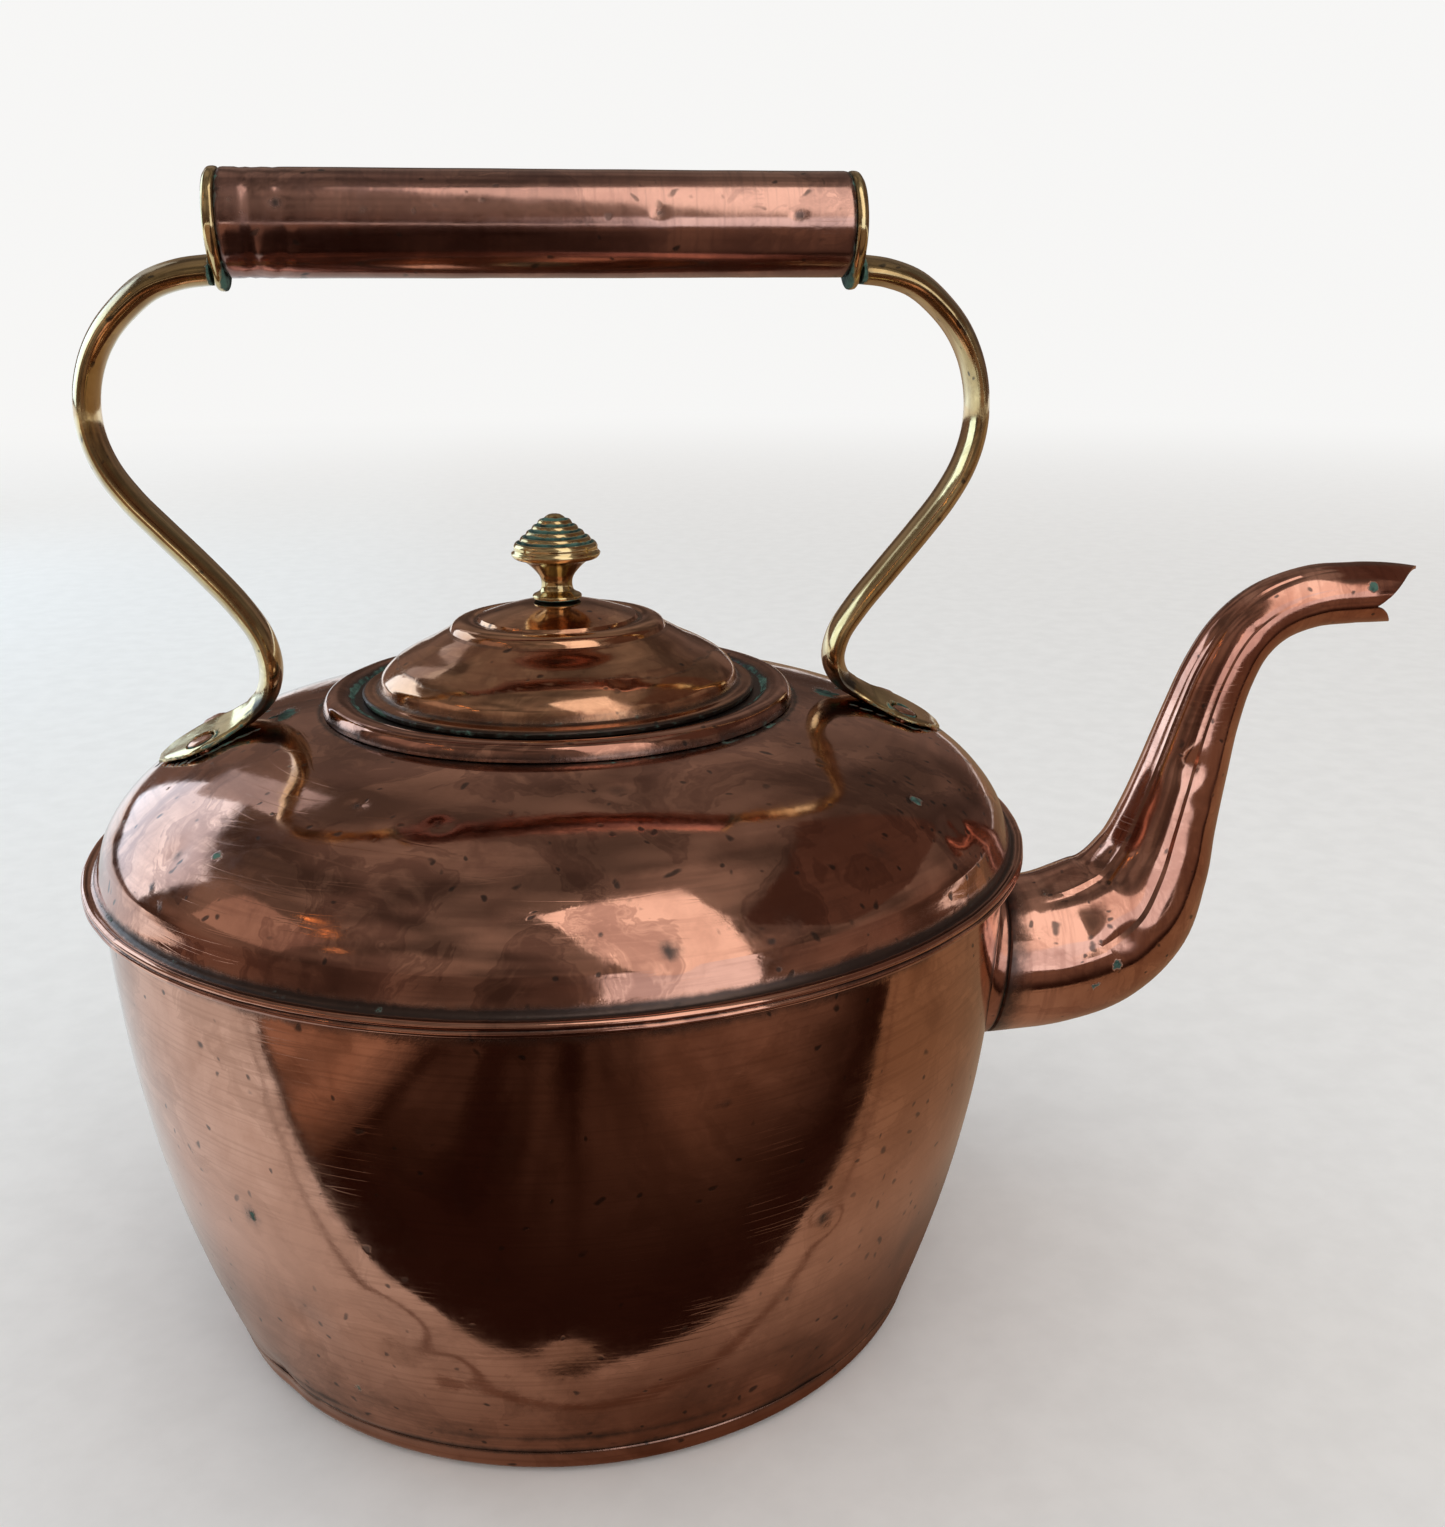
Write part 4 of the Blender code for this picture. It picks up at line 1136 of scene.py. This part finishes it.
def grip_end(name, side):
    """A turned end plate, with a lug under the tube for the strap and a spigot inside the tube."""
    near_x = GRIP_HALF_LENGTH + 0.1
    far_x = GRIP_HALF_LENGTH + GAP + END_PLATE_DEPTH
    spigot = GRIP_RADIUS - SHEET - GAP
    start = near_x - SPIGOT_LENGTH
    rim = GRIP_RADIUS
    lug = END_LUG_DROP
    outline = spline(
        [
            *crisp(start, spigot - 0.6, 0), (start + 0.8, spigot, 0), *crisp(near_x, spigot, 0),
            *crisp(near_x, rim - 0.6, lug), (near_x + 0.4, rim - 0.1, lug), (near_x + 1.4, rim, lug),
            (far_x - 0.8, rim - 0.2, lug), *crisp(far_x, rim - 1.2, lug), (far_x, rim - 5.0, 0.5 * lug),
            (far_x, 2.0, 0),
        ],
        0.6,
    )
    sections = []
    for x, radius, drop in outline:
        ring = []
        for step in range(END_SIDES):
            angle = math.tau * step / END_SIDES
            out = radius + drop * math.exp(-(((angle - math.pi) / 0.5) ** 2))
            ring.append((side * x, side * out * math.sin(angle), GRIP_Z + out * math.cos(angle)))
        sections.append(ring)
    piece = lofted(name, sections)
    points = points_of(piece)
    under = np.clip((GRIP_Z - 8 - points[:, 2]) / 5, 0, 1)
    inner_edge = band(np.abs(points[:, 0]), near_x, 0.5)
    mark(
        piece,
        verdigris=0.6 * under * band(np.abs(points[:, 0]), near_x + 0.6, 1.8) + 0.4 * inner_edge,
        grime=0.6 * inner_edge + 0.3 * under,
        wear=0.8 * band(np.abs(points[:, 0]), near_x + 1.6, 0.9),
    )
    return piece


def rivet_place(side, across):
    """Where a rivet crosses the shoulder's surface, with its axis square to it."""
    x = side * RIVET_X
    y = across * RIVET_Y
    radius = math.hypot(x, y)
    slope = dome_slope(radius)
    axis = Vector((-slope * x / radius, -slope * y / radius, 1)).normalized()
    turn = UP.rotation_difference(axis).to_matrix().to_4x4()
    return Matrix.Translation(Vector((x, y, dome_z(radius))) * MM) @ turn


def rivet(name, side, across):
    """A copper rivet with a hammered head, peened over its burr inside the kettle."""
    shank = RIVET_HOLE_RADIUS - GAP
    head = RIVET_SEAT_RADIUS - 0.4
    head_z = RIVET_SEAT_HEIGHT + 0.1
    tail_z = -SHEET - 1.8
    outline = spline(
        [
            (0, head_z + 1.7), (head * 0.55, head_z + 1.45), (head * 0.9, head_z + 0.9),
            (head, head_z + 0.35), *crisp(head - 0.1, head_z), *crisp(shank, head_z),
            *crisp(shank, tail_z), (3.2, tail_z), (3.2, tail_z - 0.4), (2.4, tail_z - 1.1),
            (0, tail_z - 1.2),
        ],
        0.4,
    )
    piece = turned(name, outline, RIVET_SIDES)
    place = rivet_place(side, across)
    points = points_of(piece)
    seed = 21 + side + 4 * across
    radius = radius_of(points)
    top = (points[:, 2] > head_z) * np.clip(1 - radius / head, 0, 1)
    points[:, 2] -= 0.35 * top * (1 + ripple(points + seed, 2.2, seed))
    place_points(piece, points)
    mark(piece, grime=0.9 * band(radius, head, 0.6), verdigris=0.7 * band(radius, head, 0.5), wear=top)
    piece.data.transform(place)
    return piece


# ---- Metals ----

GREEN_DARK = (0.010, 0.034, 0.028)
GREEN_PALE = (0.065, 0.145, 0.11)
# Soot, pits and painted shade share this dark colour
SOOT_AND_SHADE = (0.055, 0.05, 0.048)
# Each metal's bright, brown and deep tones, its roughness, the scale of its brushed lines, and how
# strongly it is stained, patched and pitted
METALS = {
    "wall_copper": (
        (0.72, 0.39, 0.28), (0.56, 0.28, 0.19), (0.36, 0.17, 0.11), 0.1, (26, 26, 1100), 0.5, 0.35, 0.6,
    ),
    "dome_copper": (
        (0.72, 0.38, 0.27), (0.54, 0.27, 0.19), (0.32, 0.15, 0.11), 0.085, (30, 30, 700), 0.6, 0.75, 1.0,
    ),
    "lid_copper": (
        (0.8, 0.45, 0.27), (0.58, 0.28, 0.16), (0.34, 0.15, 0.09), 0.1, (40, 40, 900), 0.7, 0.45, 0.8,
    ),
    "spout_copper": (
        (0.78, 0.42, 0.31), (0.58, 0.26, 0.18), (0.34, 0.14, 0.1), 0.11, (500, 60, 60), 0.5, 0.4, 0.8,
    ),
    "grip_copper": (
        (0.72, 0.41, 0.32), (0.5, 0.27, 0.22), (0.27, 0.15, 0.13), 0.15, (700, 40, 40), 0.7, 0.6, 1.0,
    ),
    "rivet_copper": (
        (0.8, 0.44, 0.3), (0.6, 0.3, 0.2), (0.33, 0.16, 0.12), 0.24, (300, 300, 300), 0.5, 0.3, 0.6,
    ),
    "strap_brass": (
        (0.86, 0.68, 0.36), (0.62, 0.43, 0.19), (0.34, 0.23, 0.11), 0.12, (80, 500, 80), 0.6, 0.4, 1.2,
    ),
    "inner_brass": (
        (0.6, 0.46, 0.24), (0.42, 0.29, 0.14), (0.22, 0.16, 0.09), 0.34, (300, 300, 300), 0.9, 0.5, 1.0,
    ),
}


class Tree:
    """Adds nodes to a material or world, each input a number, a colour or another node's socket."""

    def __init__(self, holder):
        holder.use_nodes = True
        self.holder = holder
        self.nodes = holder.node_tree.nodes
        self.links = holder.node_tree.links

    def join(self, socket, value):
        """Links the value to the socket, or sets it there."""
        if isinstance(value, bpy.types.NodeSocket):
            self.links.new(value, socket)
        elif isinstance(value, tuple) and len(value) < len(socket.default_value):
            socket.default_value = (*value, 1)
        else:
            socket.default_value = value

    def add(self, kind, inputs, output=0, **settings):
        """A new node with these inputs and settings, as the socket of one of its outputs."""
        node = self.nodes.new("ShaderNode" + kind)
        for key, value in settings.items():
            setattr(node, key, value)
        for socket, value in inputs.items():
            self.join(node.inputs[socket], value)
        return node.outputs[output]

    def math(self, operation, one, two=0.0):
        """One operation on two values."""
        return self.add("Math", {0: one, 1: two}, operation=operation)

    def place(self):
        """Places in the object's own space."""
        return self.add("TexCoord", {}, output="Object")

    def along(self, place, axis):
        """How far along one axis the place lies."""
        return self.add("SeparateXYZ", {0: place}, output=axis)

    def length(self, place):
        """How far from the object's origin the place lies."""
        return self.add("VectorMath", {0: place}, output="Value", operation="LENGTH")

    def show(self, surface):
        """Makes this shader the look of the material or world."""
        output = next(node for node in self.nodes if node.type.startswith("OUTPUT"))
        self.join(output.inputs["Surface"], surface)

    def noise(self, place, scale, detail, roughness=0.6):
        """Noise from 0 to 1."""
        settings = {"Vector": place, "Scale": scale, "Detail": detail, "Roughness": roughness}
        return self.add("TexNoise", settings)

    def stretched(self, place, scale, turn=(0, 0, 0), detail=2):
        """Noise drawn out into lines by a different scale along each axis."""
        mapped = self.add("Mapping", {"Vector": place, "Rotation": turn, "Scale": scale})
        return self.noise(mapped, 1, detail, 0.5)

    def step(self, value, low, high):
        """0 below low, 1 above high and smooth between them."""
        settings = {"Value": value, "From Min": low, "From Max": high}
        return self.add("MapRange", settings, interpolation_type="SMOOTHSTEP")

    def mix(self, factor, one, two):
        """Two colours, mixed."""
        return self.add("Mix", {0: factor, 6: one, 7: two}, output=2, data_type="RGBA")

    def blend(self, factor, one, two):
        """Two numbers, mixed."""
        return self.add("Mix", {0: factor, 2: one, 3: two})

    def total(self, *terms):
        """The sum of the terms."""
        out = terms[0]
        for term in terms[1:]:
            out = self.math("ADD", out, term)
        return out

    def scaled(self, value, by, centre=0.0):
        """(value - centre) times by."""
        return self.math("MULTIPLY", self.math("SUBTRACT", value, centre), by)


def scratches(tree, place, where):
    """Fine curved lines in two directions, denser in some areas than in others."""
    total = None
    for turn, scale in (((0.5, 0.3, 0.2), (14, 14, 420)), ((-0.7, 0.9, 0.4), (18, 18, 380))):
        line = tree.stretched(place, scale, turn, 0)
        away = tree.math("ABSOLUTE", tree.math("SUBTRACT", line, 0.5))
        thin = tree.math("SUBTRACT", 1.0, tree.step(away, 0.003, 0.014))
        total = thin if total is None else tree.math("MAXIMUM", total, thin)
    return tree.math("MULTIPLY", total, tree.step(where, 0.5, 0.66))


def specks(tree, place, scale, share, size):
    """Small round flecks in this share of a random grid's cells."""
    flecks = {"Vector": place, "Scale": scale, "Randomness": 1.0}
    distance = tree.add("TexVoronoi", flecks)
    chosen = tree.add("SeparateColor", {0: tree.add("TexVoronoi", flecks, output="Color")})
    small = tree.math("SUBTRACT", 1.0, tree.step(distance, 0.4 * size, size))
    return tree.math("MULTIPLY", small, tree.math("LESS_THAN", chosen, share))


def patterns(tree, lines, stain, patina, pits):
    """What an old metal's colour, gloss and relief are made from. Scales are per metre."""
    place = tree.place()
    drift = tree.add("TexNoise", {"Vector": place, "Scale": 70, "Detail": 3}, output="Color")
    shift = tree.add("VectorMath", {0: drift, 1: (0.5, 0.5, 0.5)}, operation="SUBTRACT")
    shift = tree.add("VectorMath", {0: shift, "Scale": 0.012}, operation="SCALE")
    bent = tree.add("VectorMath", {0: place, 1: shift}, operation="ADD")
    found = SimpleNamespace()
    for mask in MASKS:
        setattr(found, mask, tree.add("Attribute", {}, output="Fac", attribute_name=mask))
    found.large = tree.noise(bent, 16, 3)
    found.middle = tree.noise(bent, 75, 5, 0.62)
    found.fine = tree.noise(place, 420, 4, 0.65)
    found.brushed = tree.stretched(place, lines)
    found.stained = tree.scaled(tree.step(tree.noise(bent, 38, 6, 0.7), 0.52, 0.70), stain)
    curls = {"Vector": bent, "Scale": 22, "Detail": 5, "Roughness": 0.55, "Distortion": 1.6}
    swirl = tree.add("TexNoise", curls)
    patch = tree.math("MULTIPLY", tree.step(swirl, 0.50, 0.56), tree.step(swirl, 0.66, 0.60))
    found.patch = tree.scaled(patch, patina)
    tide = tree.step(tree.math("ABSOLUTE", tree.scaled(swirl, 1, 0.51)), 0.004, 0.02)
    found.outline = tree.scaled(tree.math("SUBTRACT", 1.0, tide), 0.7 * patina)
    small = specks(tree, bent, 330, tree.total(0.10 * pits, tree.scaled(found.pitting, 0.45)), 0.34)
    big = specks(tree, bent, 120, tree.total(0.07 * pits, tree.scaled(found.pitting, 0.4)), 0.18)
    found.pits = tree.math("MAXIMUM", small, big)
    found.scratches = scratches(tree, place, tree.noise(place, 24, 2))
    breakup = tree.total(tree.scaled(found.middle, 0.9, 0.5), tree.scaled(found.fine, 0.7, 0.5))
    # The soot share also paints shade where the grime mask holds it.
    dirt_and_shade = tree.total(found.grime, tree.math("MULTIPLY", breakup, 0.6))
    found.sooty = tree.step(dirt_and_shade, 0.16, 0.85)
    found.green = tree.step(tree.total(found.verdigris, breakup), 0.46, 0.68)
    return found


def metal_colour(tree, found, bright, brown, deep):
    """Mottled tones with stains, tarnish, pits, worn places and scratches, then soot, then verdigris; the
    tarnish and the soot also carry painted shade.
    """
    mottled = tree.total(tree.scaled(found.large, 0.6), tree.scaled(found.middle, 0.4))
    colour = tree.mix(tree.step(mottled, 0.42, 0.60), bright, brown)
    shade = tree.total(0.62, tree.scaled(found.middle, 1.4, 0.4))
    tarnish_and_shade_amount = tree.math("MULTIPLY", found.tarnish, shade)
    brushed = tree.scaled(tree.step(found.brushed, 0.48, 0.68), 0.30)
    for share in (found.stained, found.patch, found.outline, tarnish_and_shade_amount, brushed):
        colour = tree.mix(share, colour, deep)
    colour = tree.mix(tree.scaled(found.pits, 0.8), colour, SOOT_AND_SHADE)
    worn = tree.step(tree.total(found.middle, tree.scaled(found.fine, 0.3)), 0.42, 0.72)
    polished = tree.math("MULTIPLY", found.wear, worn)
    polished = tree.math("MAXIMUM", polished, tree.scaled(found.scratches, 0.16))
    colour = tree.mix(polished, colour, bright)
    colour = tree.mix(tree.scaled(found.sooty, 0.92), colour, SOOT_AND_SHADE)
    crumbs = tree.step(tree.total(found.fine, tree.scaled(found.middle, 0.5, 0.5)), 0.38, 0.66)
    return tree.mix(found.green, colour, tree.mix(crumbs, GREEN_DARK, GREEN_PALE))


def metal_roughness(tree, found, roughness):
    """Glossy where it is clean, duller in stains and pits, and matt in soot, painted shade and verdigris.
    """
    dull = tree.total(
        roughness,
        tree.scaled(found.middle, 0.14, 0.5),
        tree.scaled(found.fine, 0.10, 0.5),
        tree.scaled(found.stained, 0.10),
        tree.scaled(found.brushed, 0.08, 0.5),
        tree.scaled(found.pits, 0.1),
        tree.scaled(found.scratches, 0.06),
    )
    dull = tree.blend(tree.scaled(found.sooty, 0.8), dull, 0.42)
    return tree.blend(found.green, dull, 0.88)


def metal_relief(tree, found):
    """Hammered waves, brushed lines, pits, scratches and crusts, each with its height in millimetres."""
    height = tree.total(
        tree.scaled(found.large, 0.30),
        tree.scaled(found.middle, 0.035),
        tree.scaled(found.fine, 0.004),
        tree.scaled(found.brushed, 0.006),
        tree.scaled(found.pits, -0.012),
        tree.scaled(found.scratches, -0.008),
        tree.math("MULTIPLY", found.green, tree.scaled(found.fine, 0.30)),
        tree.math("MULTIPLY", found.sooty, tree.scaled(found.fine, 0.08)),
    )
    return tree.add("Bump", {"Strength": 1.0, "Distance": MM, "Height": height})


def aged_metal(name, bright, brown, deep, roughness, lines, stain, patina, pits):
    """Old polished metal: mottled tones, stains, flecks, scratches, soot and verdigris."""
    tree = Tree(bpy.data.materials.new(name))
    found = patterns(tree, lines, stain, patina, pits)
    looks = {
        "Base Color": metal_colour(tree, found, bright, brown, deep),
        "Metallic": tree.math("SUBTRACT", 1.0, found.green),
        "Roughness": metal_roughness(tree, found, roughness),
        "Normal": metal_relief(tree, found),
    }
    for socket, value in looks.items():
        tree.join(tree.nodes["Principled BSDF"].inputs[socket], value)
    return tree.holder


# ---- Floor, light and camera ----

KETTLE_MIDDLE = Vector((0.02, 0, 0.13))
PALE = (0.93, 0.925, 0.915)
FLOOR_HALF = 6.0
FLOOR_Z = -0.0005
FLOOR_TONES = ((0.86, 0.85, 0.83), (0.90, 0.89, 0.87))
ROOM_LOW = (0.13, 0.08, 0.06)
ROOM_MIDDLE = (0.19, 0.155, 0.13)
ROOM_MIDDLE_HEIGHT = 0.45
ROOM_CEILING = (0.22, 0.19, 0.165)
STAGE_HALF = 3.0
COUNTER_Z = 0.0003
COUNTER_EDGE_Y = -0.125
COUNTER_LINE_Y = COUNTER_EDGE_Y + 0.014
COUNTER_FAR_LEFT = (1.05, 1.2, 1.3)
COUNTER_LEFT = (0.72, 0.78, 0.80)
COUNTER_MIDDLE = (0.40, 0.33, 0.27)
COUNTER_RIGHT = (0.26, 0.17, 0.10)
COUNTER_SHADE = (0.10, 0.05, 0.03)
FRONT_DARK = (0.022, 0.009, 0.006)
FRONT_BROWN = (0.19, 0.12, 0.085)
FRONT_WOOD = (0.36, 0.23, 0.16)
CAMERA_PLACE = Vector((-13.4, -387.8, 263.6)) * MM
CAMERA_YAW = 0.145
CAMERA_PITCH = 0.298
CAMERA_ROLL = -0.004
SENSOR_WIDTH = 36
FOCAL_SHARE = 1500 / 1527  # focal length over the picture's height, which the sensor's width spans
# name, azimuth, elevation, distance, width, height, colour, whether it also lights matt surfaces
CARDS = [
    ("window_back", -131, 18, 1.6, 0.95, 0.86, (1.4, 1.85, 2.25), True),
    ("window_haze", -149, 31, 1.6, 0.22, 0.50, (0.52, 0.55, 0.60), False),
    ("warm_left", -86, 30, 1.7, 0.80, 0.55, (0.42, 0.33, 0.28), False),
    ("lamp_a", -81, 43, 1.6, 0.12, 0.03, (3.2, 1.5, 0.5), False),
    ("lamp_b", -72, 41, 1.6, 0.10, 0.03, (3.2, 1.5, 0.5), False),
    ("lamp_c", -62, 33, 1.6, 0.05, 0.05, (3.6, 1.9, 0.8), False),
    ("window_front", 26, 46, 1.7, 0.85, 2.3, (1.3, 1.22, 1.16), True),
    ("window_low", 22, 6, 1.8, 1.15, 0.7, (1.15, 1.2, 1.3), True),
    ("dark_right", 95, 42, 1.9, 1.9, 1.1, (0.10, 0.06, 0.045), False),
]


def rectangle(name, half_width, low_y, high_y, z=0):
    """A level rectangle whose middle is on the Y axis."""
    mesh = bpy.data.meshes.new(name)
    corners = [(-half_width, low_y, z), (half_width, low_y, z)]
    corners += [(half_width, high_y, z), (-half_width, high_y, z)]
    mesh.from_pydata(corners, [], [(0, 1, 2, 3)])
    return add_object(name, mesh)


def floor():
    """A pale floor whose far edge fades into the pale world."""
    obj = rectangle("floor", FLOOR_HALF, -FLOOR_HALF, FLOOR_HALF)
    obj.location.z = FLOOR_Z
    tree = Tree(bpy.data.materials.new("floor"))
    place = tree.place()
    grain = tree.noise(place, 60, 5)
    shader = tree.nodes["Principled BSDF"]
    tree.join(shader.inputs["Base Color"], tree.mix(tree.step(grain, 0.3, 0.7), *FLOOR_TONES))
    tree.join(shader.inputs["Roughness"], 0.7)
    tree.join(shader.inputs["Specular IOR Level"], 0.2)
    far = tree.add("Emission", {"Color": PALE, "Strength": 1.0})
    faded = tree.step(tree.length(place), 0.6, 3.5)
    tree.show(tree.add("MixShader", {0: faded, 1: shader.outputs[0], 2: far}))
    coat(obj, tree.holder)


def glow(obj, tree, colour, lights_up=False):
    """Makes the object glow, and hides it from the camera and, unless it lights up, from matt surfaces."""
    tree.show(tree.add("Emission", {"Color": colour, "Strength": 1.0}))
    coat(obj, tree.holder)
    obj.visible_camera = False
    obj.visible_diffuse = lights_up
    obj.visible_shadow = False
    obj.visible_transmission = False


def card(name, azimuth, elevation, distance, width, height, colour, lights_up):
    """A glowing card that faces the kettle. The azimuth is 0 in front of the kettle, towards -Y,
    and grows towards the spout."""
    turn = math.radians(azimuth)
    rise = math.radians(elevation)
    away = Vector((math.sin(turn) * math.cos(rise), -math.cos(turn) * math.cos(rise), math.sin(rise)))
    obj = rectangle(name, width / 2, -height / 2, height / 2)
    obj.location = KETTLE_MIDDLE + away * distance
    obj.rotation_euler = away.to_track_quat("Z", "Y").to_euler()
    glow(obj, Tree(bpy.data.materials.new(name)), colour, lights_up)


def counter():
    """What polished metal mirrors of the surface it stands on: pale and cool to the left, warm
    and dim to the right and in the kettle's own shade, with a line along its front edge."""
    tree = Tree(bpy.data.materials.new("counter"))
    place = tree.place()
    x = tree.along(place, "X")
    colour = tree.mix(tree.step(x, -0.22, 0.0), COUNTER_LEFT, COUNTER_MIDDLE)
    colour = tree.mix(tree.step(x, 0.0, 0.25), colour, COUNTER_RIGHT)
    colour = tree.mix(tree.step(x, -0.28, -0.60), colour, COUNTER_FAR_LEFT)
    near_kettle = tree.step(tree.length(place), 0.150, 0.092)
    under_light = tree.total(0.5, tree.scaled(tree.step(x, -0.12, 0.03), 0.5))
    colour = tree.mix(tree.math("MULTIPLY", near_kettle, under_light), colour, COUNTER_SHADE)
    line = tree.math("ABSOLUTE", tree.math("SUBTRACT", tree.along(place, "Y"), COUNTER_LINE_Y))
    colour = tree.mix(tree.scaled(tree.step(line, 0.0022, 0.0008), 0.75), colour, COUNTER_SHADE)
    glow(rectangle("counter", STAGE_HALF, COUNTER_EDGE_Y, STAGE_HALF, COUNTER_Z), tree, colour)


def foreground():
    """The unlit room in front of the counter's edge, which the wall mirrors, with wood at its left."""
    tree = Tree(bpy.data.materials.new("foreground"))
    place = tree.place()
    x = tree.along(place, "X")
    y = tree.along(place, "Y")
    folds = tree.step(tree.stretched(place, (16, 3, 1), detail=3), 0.42, 0.62)
    brown = tree.total(tree.scaled(folds, 0.35), tree.scaled(tree.step(x, 0.0, 0.12), 0.75))
    far = tree.step(y, -0.14, -0.27)
    colour = tree.mix(tree.math("MULTIPLY", far, brown), FRONT_DARK, FRONT_BROWN)
    past_edge = tree.step(y, COUNTER_EDGE_Y - 0.003, COUNTER_EDGE_Y - 0.014)
    left = tree.math("MULTIPLY", tree.step(x, -0.165, -0.20), past_edge)
    grain = tree.step(tree.stretched(place, (40, 5, 1), detail=3), 0.40, 0.60)
    wood = tree.math("MULTIPLY", left, tree.total(0.55, tree.scaled(grain, 0.4)))
    colour = tree.mix(wood, colour, FRONT_WOOD)
    glow(rectangle("foreground", STAGE_HALF, -STAGE_HALF, COUNTER_EDGE_Y, COUNTER_Z), tree, colour)


def studio_world():
    """Pale to the camera, soft white to matt surfaces and a dim warm room to polished ones."""
    world = bpy.data.worlds.new("studio")
    bpy.context.scene.world = world
    tree = Tree(world)
    direction = tree.add("TexCoord", {}, output="Generated")
    tones = tree.add("ValToRGB", {0: tree.along(direction, "Z")})
    heights = tones.node.color_ramp.elements
    heights[0].color = (*ROOM_LOW, 1)
    heights[1].color = (*ROOM_CEILING, 1)
    heights.new(ROOM_MIDDLE_HEIGHT).color = (*ROOM_MIDDLE, 1)
    blotches = tree.add("TexNoise", {"Vector": direction, "Scale": 2.6, "Detail": 2})
    limits = {"From Min": 0.4, "From Max": 0.6, "To Min": 0.45, "To Max": 1.25}
    contrast = tree.add("MapRange", {"Value": blotches, **limits})
    mirrored = tree.add("Background", {"Color": tones, "Strength": contrast})
    soft = tree.add("Background", {"Color": (1, 1, 1), "Strength": 0.8})
    plain = tree.add("Background", {"Color": PALE, "Strength": 1.0})
    in_mirror = tree.add("LightPath", {}, output="Is Glossy Ray")
    in_view = tree.add("LightPath", {}, output="Is Camera Ray")
    room = tree.add("MixShader", {0: in_mirror, 1: soft, 2: mirrored})
    tree.show(tree.add("MixShader", {0: in_view, 1: room, 2: plain}))


def camera():
    """At the height and tilt of someone standing over the kettle, and near to it."""
    level = Vector((math.sin(CAMERA_YAW), math.cos(CAMERA_YAW), 0))
    forward = level * math.cos(CAMERA_PITCH) - UP * math.sin(CAMERA_PITCH)
    right = Vector((math.cos(CAMERA_YAW), -math.sin(CAMERA_YAW), 0))
    up = right.cross(forward)
    rolled_right = math.cos(CAMERA_ROLL) * right + math.sin(CAMERA_ROLL) * up
    rolled_up = -math.sin(CAMERA_ROLL) * right + math.cos(CAMERA_ROLL) * up
    data = bpy.data.cameras.new("camera")
    data.sensor_width = SENSOR_WIDTH
    data.lens = SENSOR_WIDTH * FOCAL_SHARE
    data.clip_start = 0.01
    obj = add_object("camera", data)
    axes = Matrix((rolled_right, rolled_up, -forward)).transposed()
    obj.matrix_world = Matrix.Translation(CAMERA_PLACE) @ axes.to_4x4()
    bpy.context.scene.camera = obj


def build():
    """Makes every piece, and then the stage, its lights and the camera."""
    metals = {name: aged_metal(name, *look) for name, look in METALS.items()}
    made = [
        (base_pan(), "base_plate", "wall_copper", "body_copper"),
        (wall(), "body_wall", "wall_copper", "body_copper"),
        (dome(), "shoulder_dome", "dome_copper", "body_copper"),
        (seat_ring(), "lid_seat_ring", "dome_copper", "body_copper"),
        (lid(), "lid_shell", "lid_copper", "lid_copper"),
        (skirt(), "lid_skirt", "lid_copper", "lid_copper"),
        (knob(), "lid_knob", "strap_brass", "handle_brass"),
        (collar(), "spout_collar", "spout_copper", "spout_copper"),
        (spout(), "spout", "spout_copper", "spout_copper"),
        (tube(), "grip_tube", "grip_copper", "grip_copper"),
    ]
    for end, side in SIDES:
        made.append((strap(f"{end}_strap", side), f"strap_{end}", "strap_brass", "handle_brass"))
        made.append((grip_end(f"{end}_end", side), f"grip_end_{end}", "strap_brass", "handle_brass"))
        for across, row in ACROSS:
            piece = rivet(f"{end}_{row}_rivet", side, across)
            made.append((piece, f"rivet_{end}_{row}", "rivet_copper", "rivet_copper"))
            coat(frame["nodes"][f"burr_{end}_{row}"], metals["rivet_copper"])
    for piece, node, metal, slot in made:
        finish_piece(piece, node, metals[metal])
    coat(frame["nodes"]["knob_washer"], metals["inner_brass"])
    floor()
    counter()
    foreground()
    for row in CARDS:
        card(*row)
    studio_world()
    camera()
    bpy.context.scene.view_settings.view_transform = "Standard"


build()
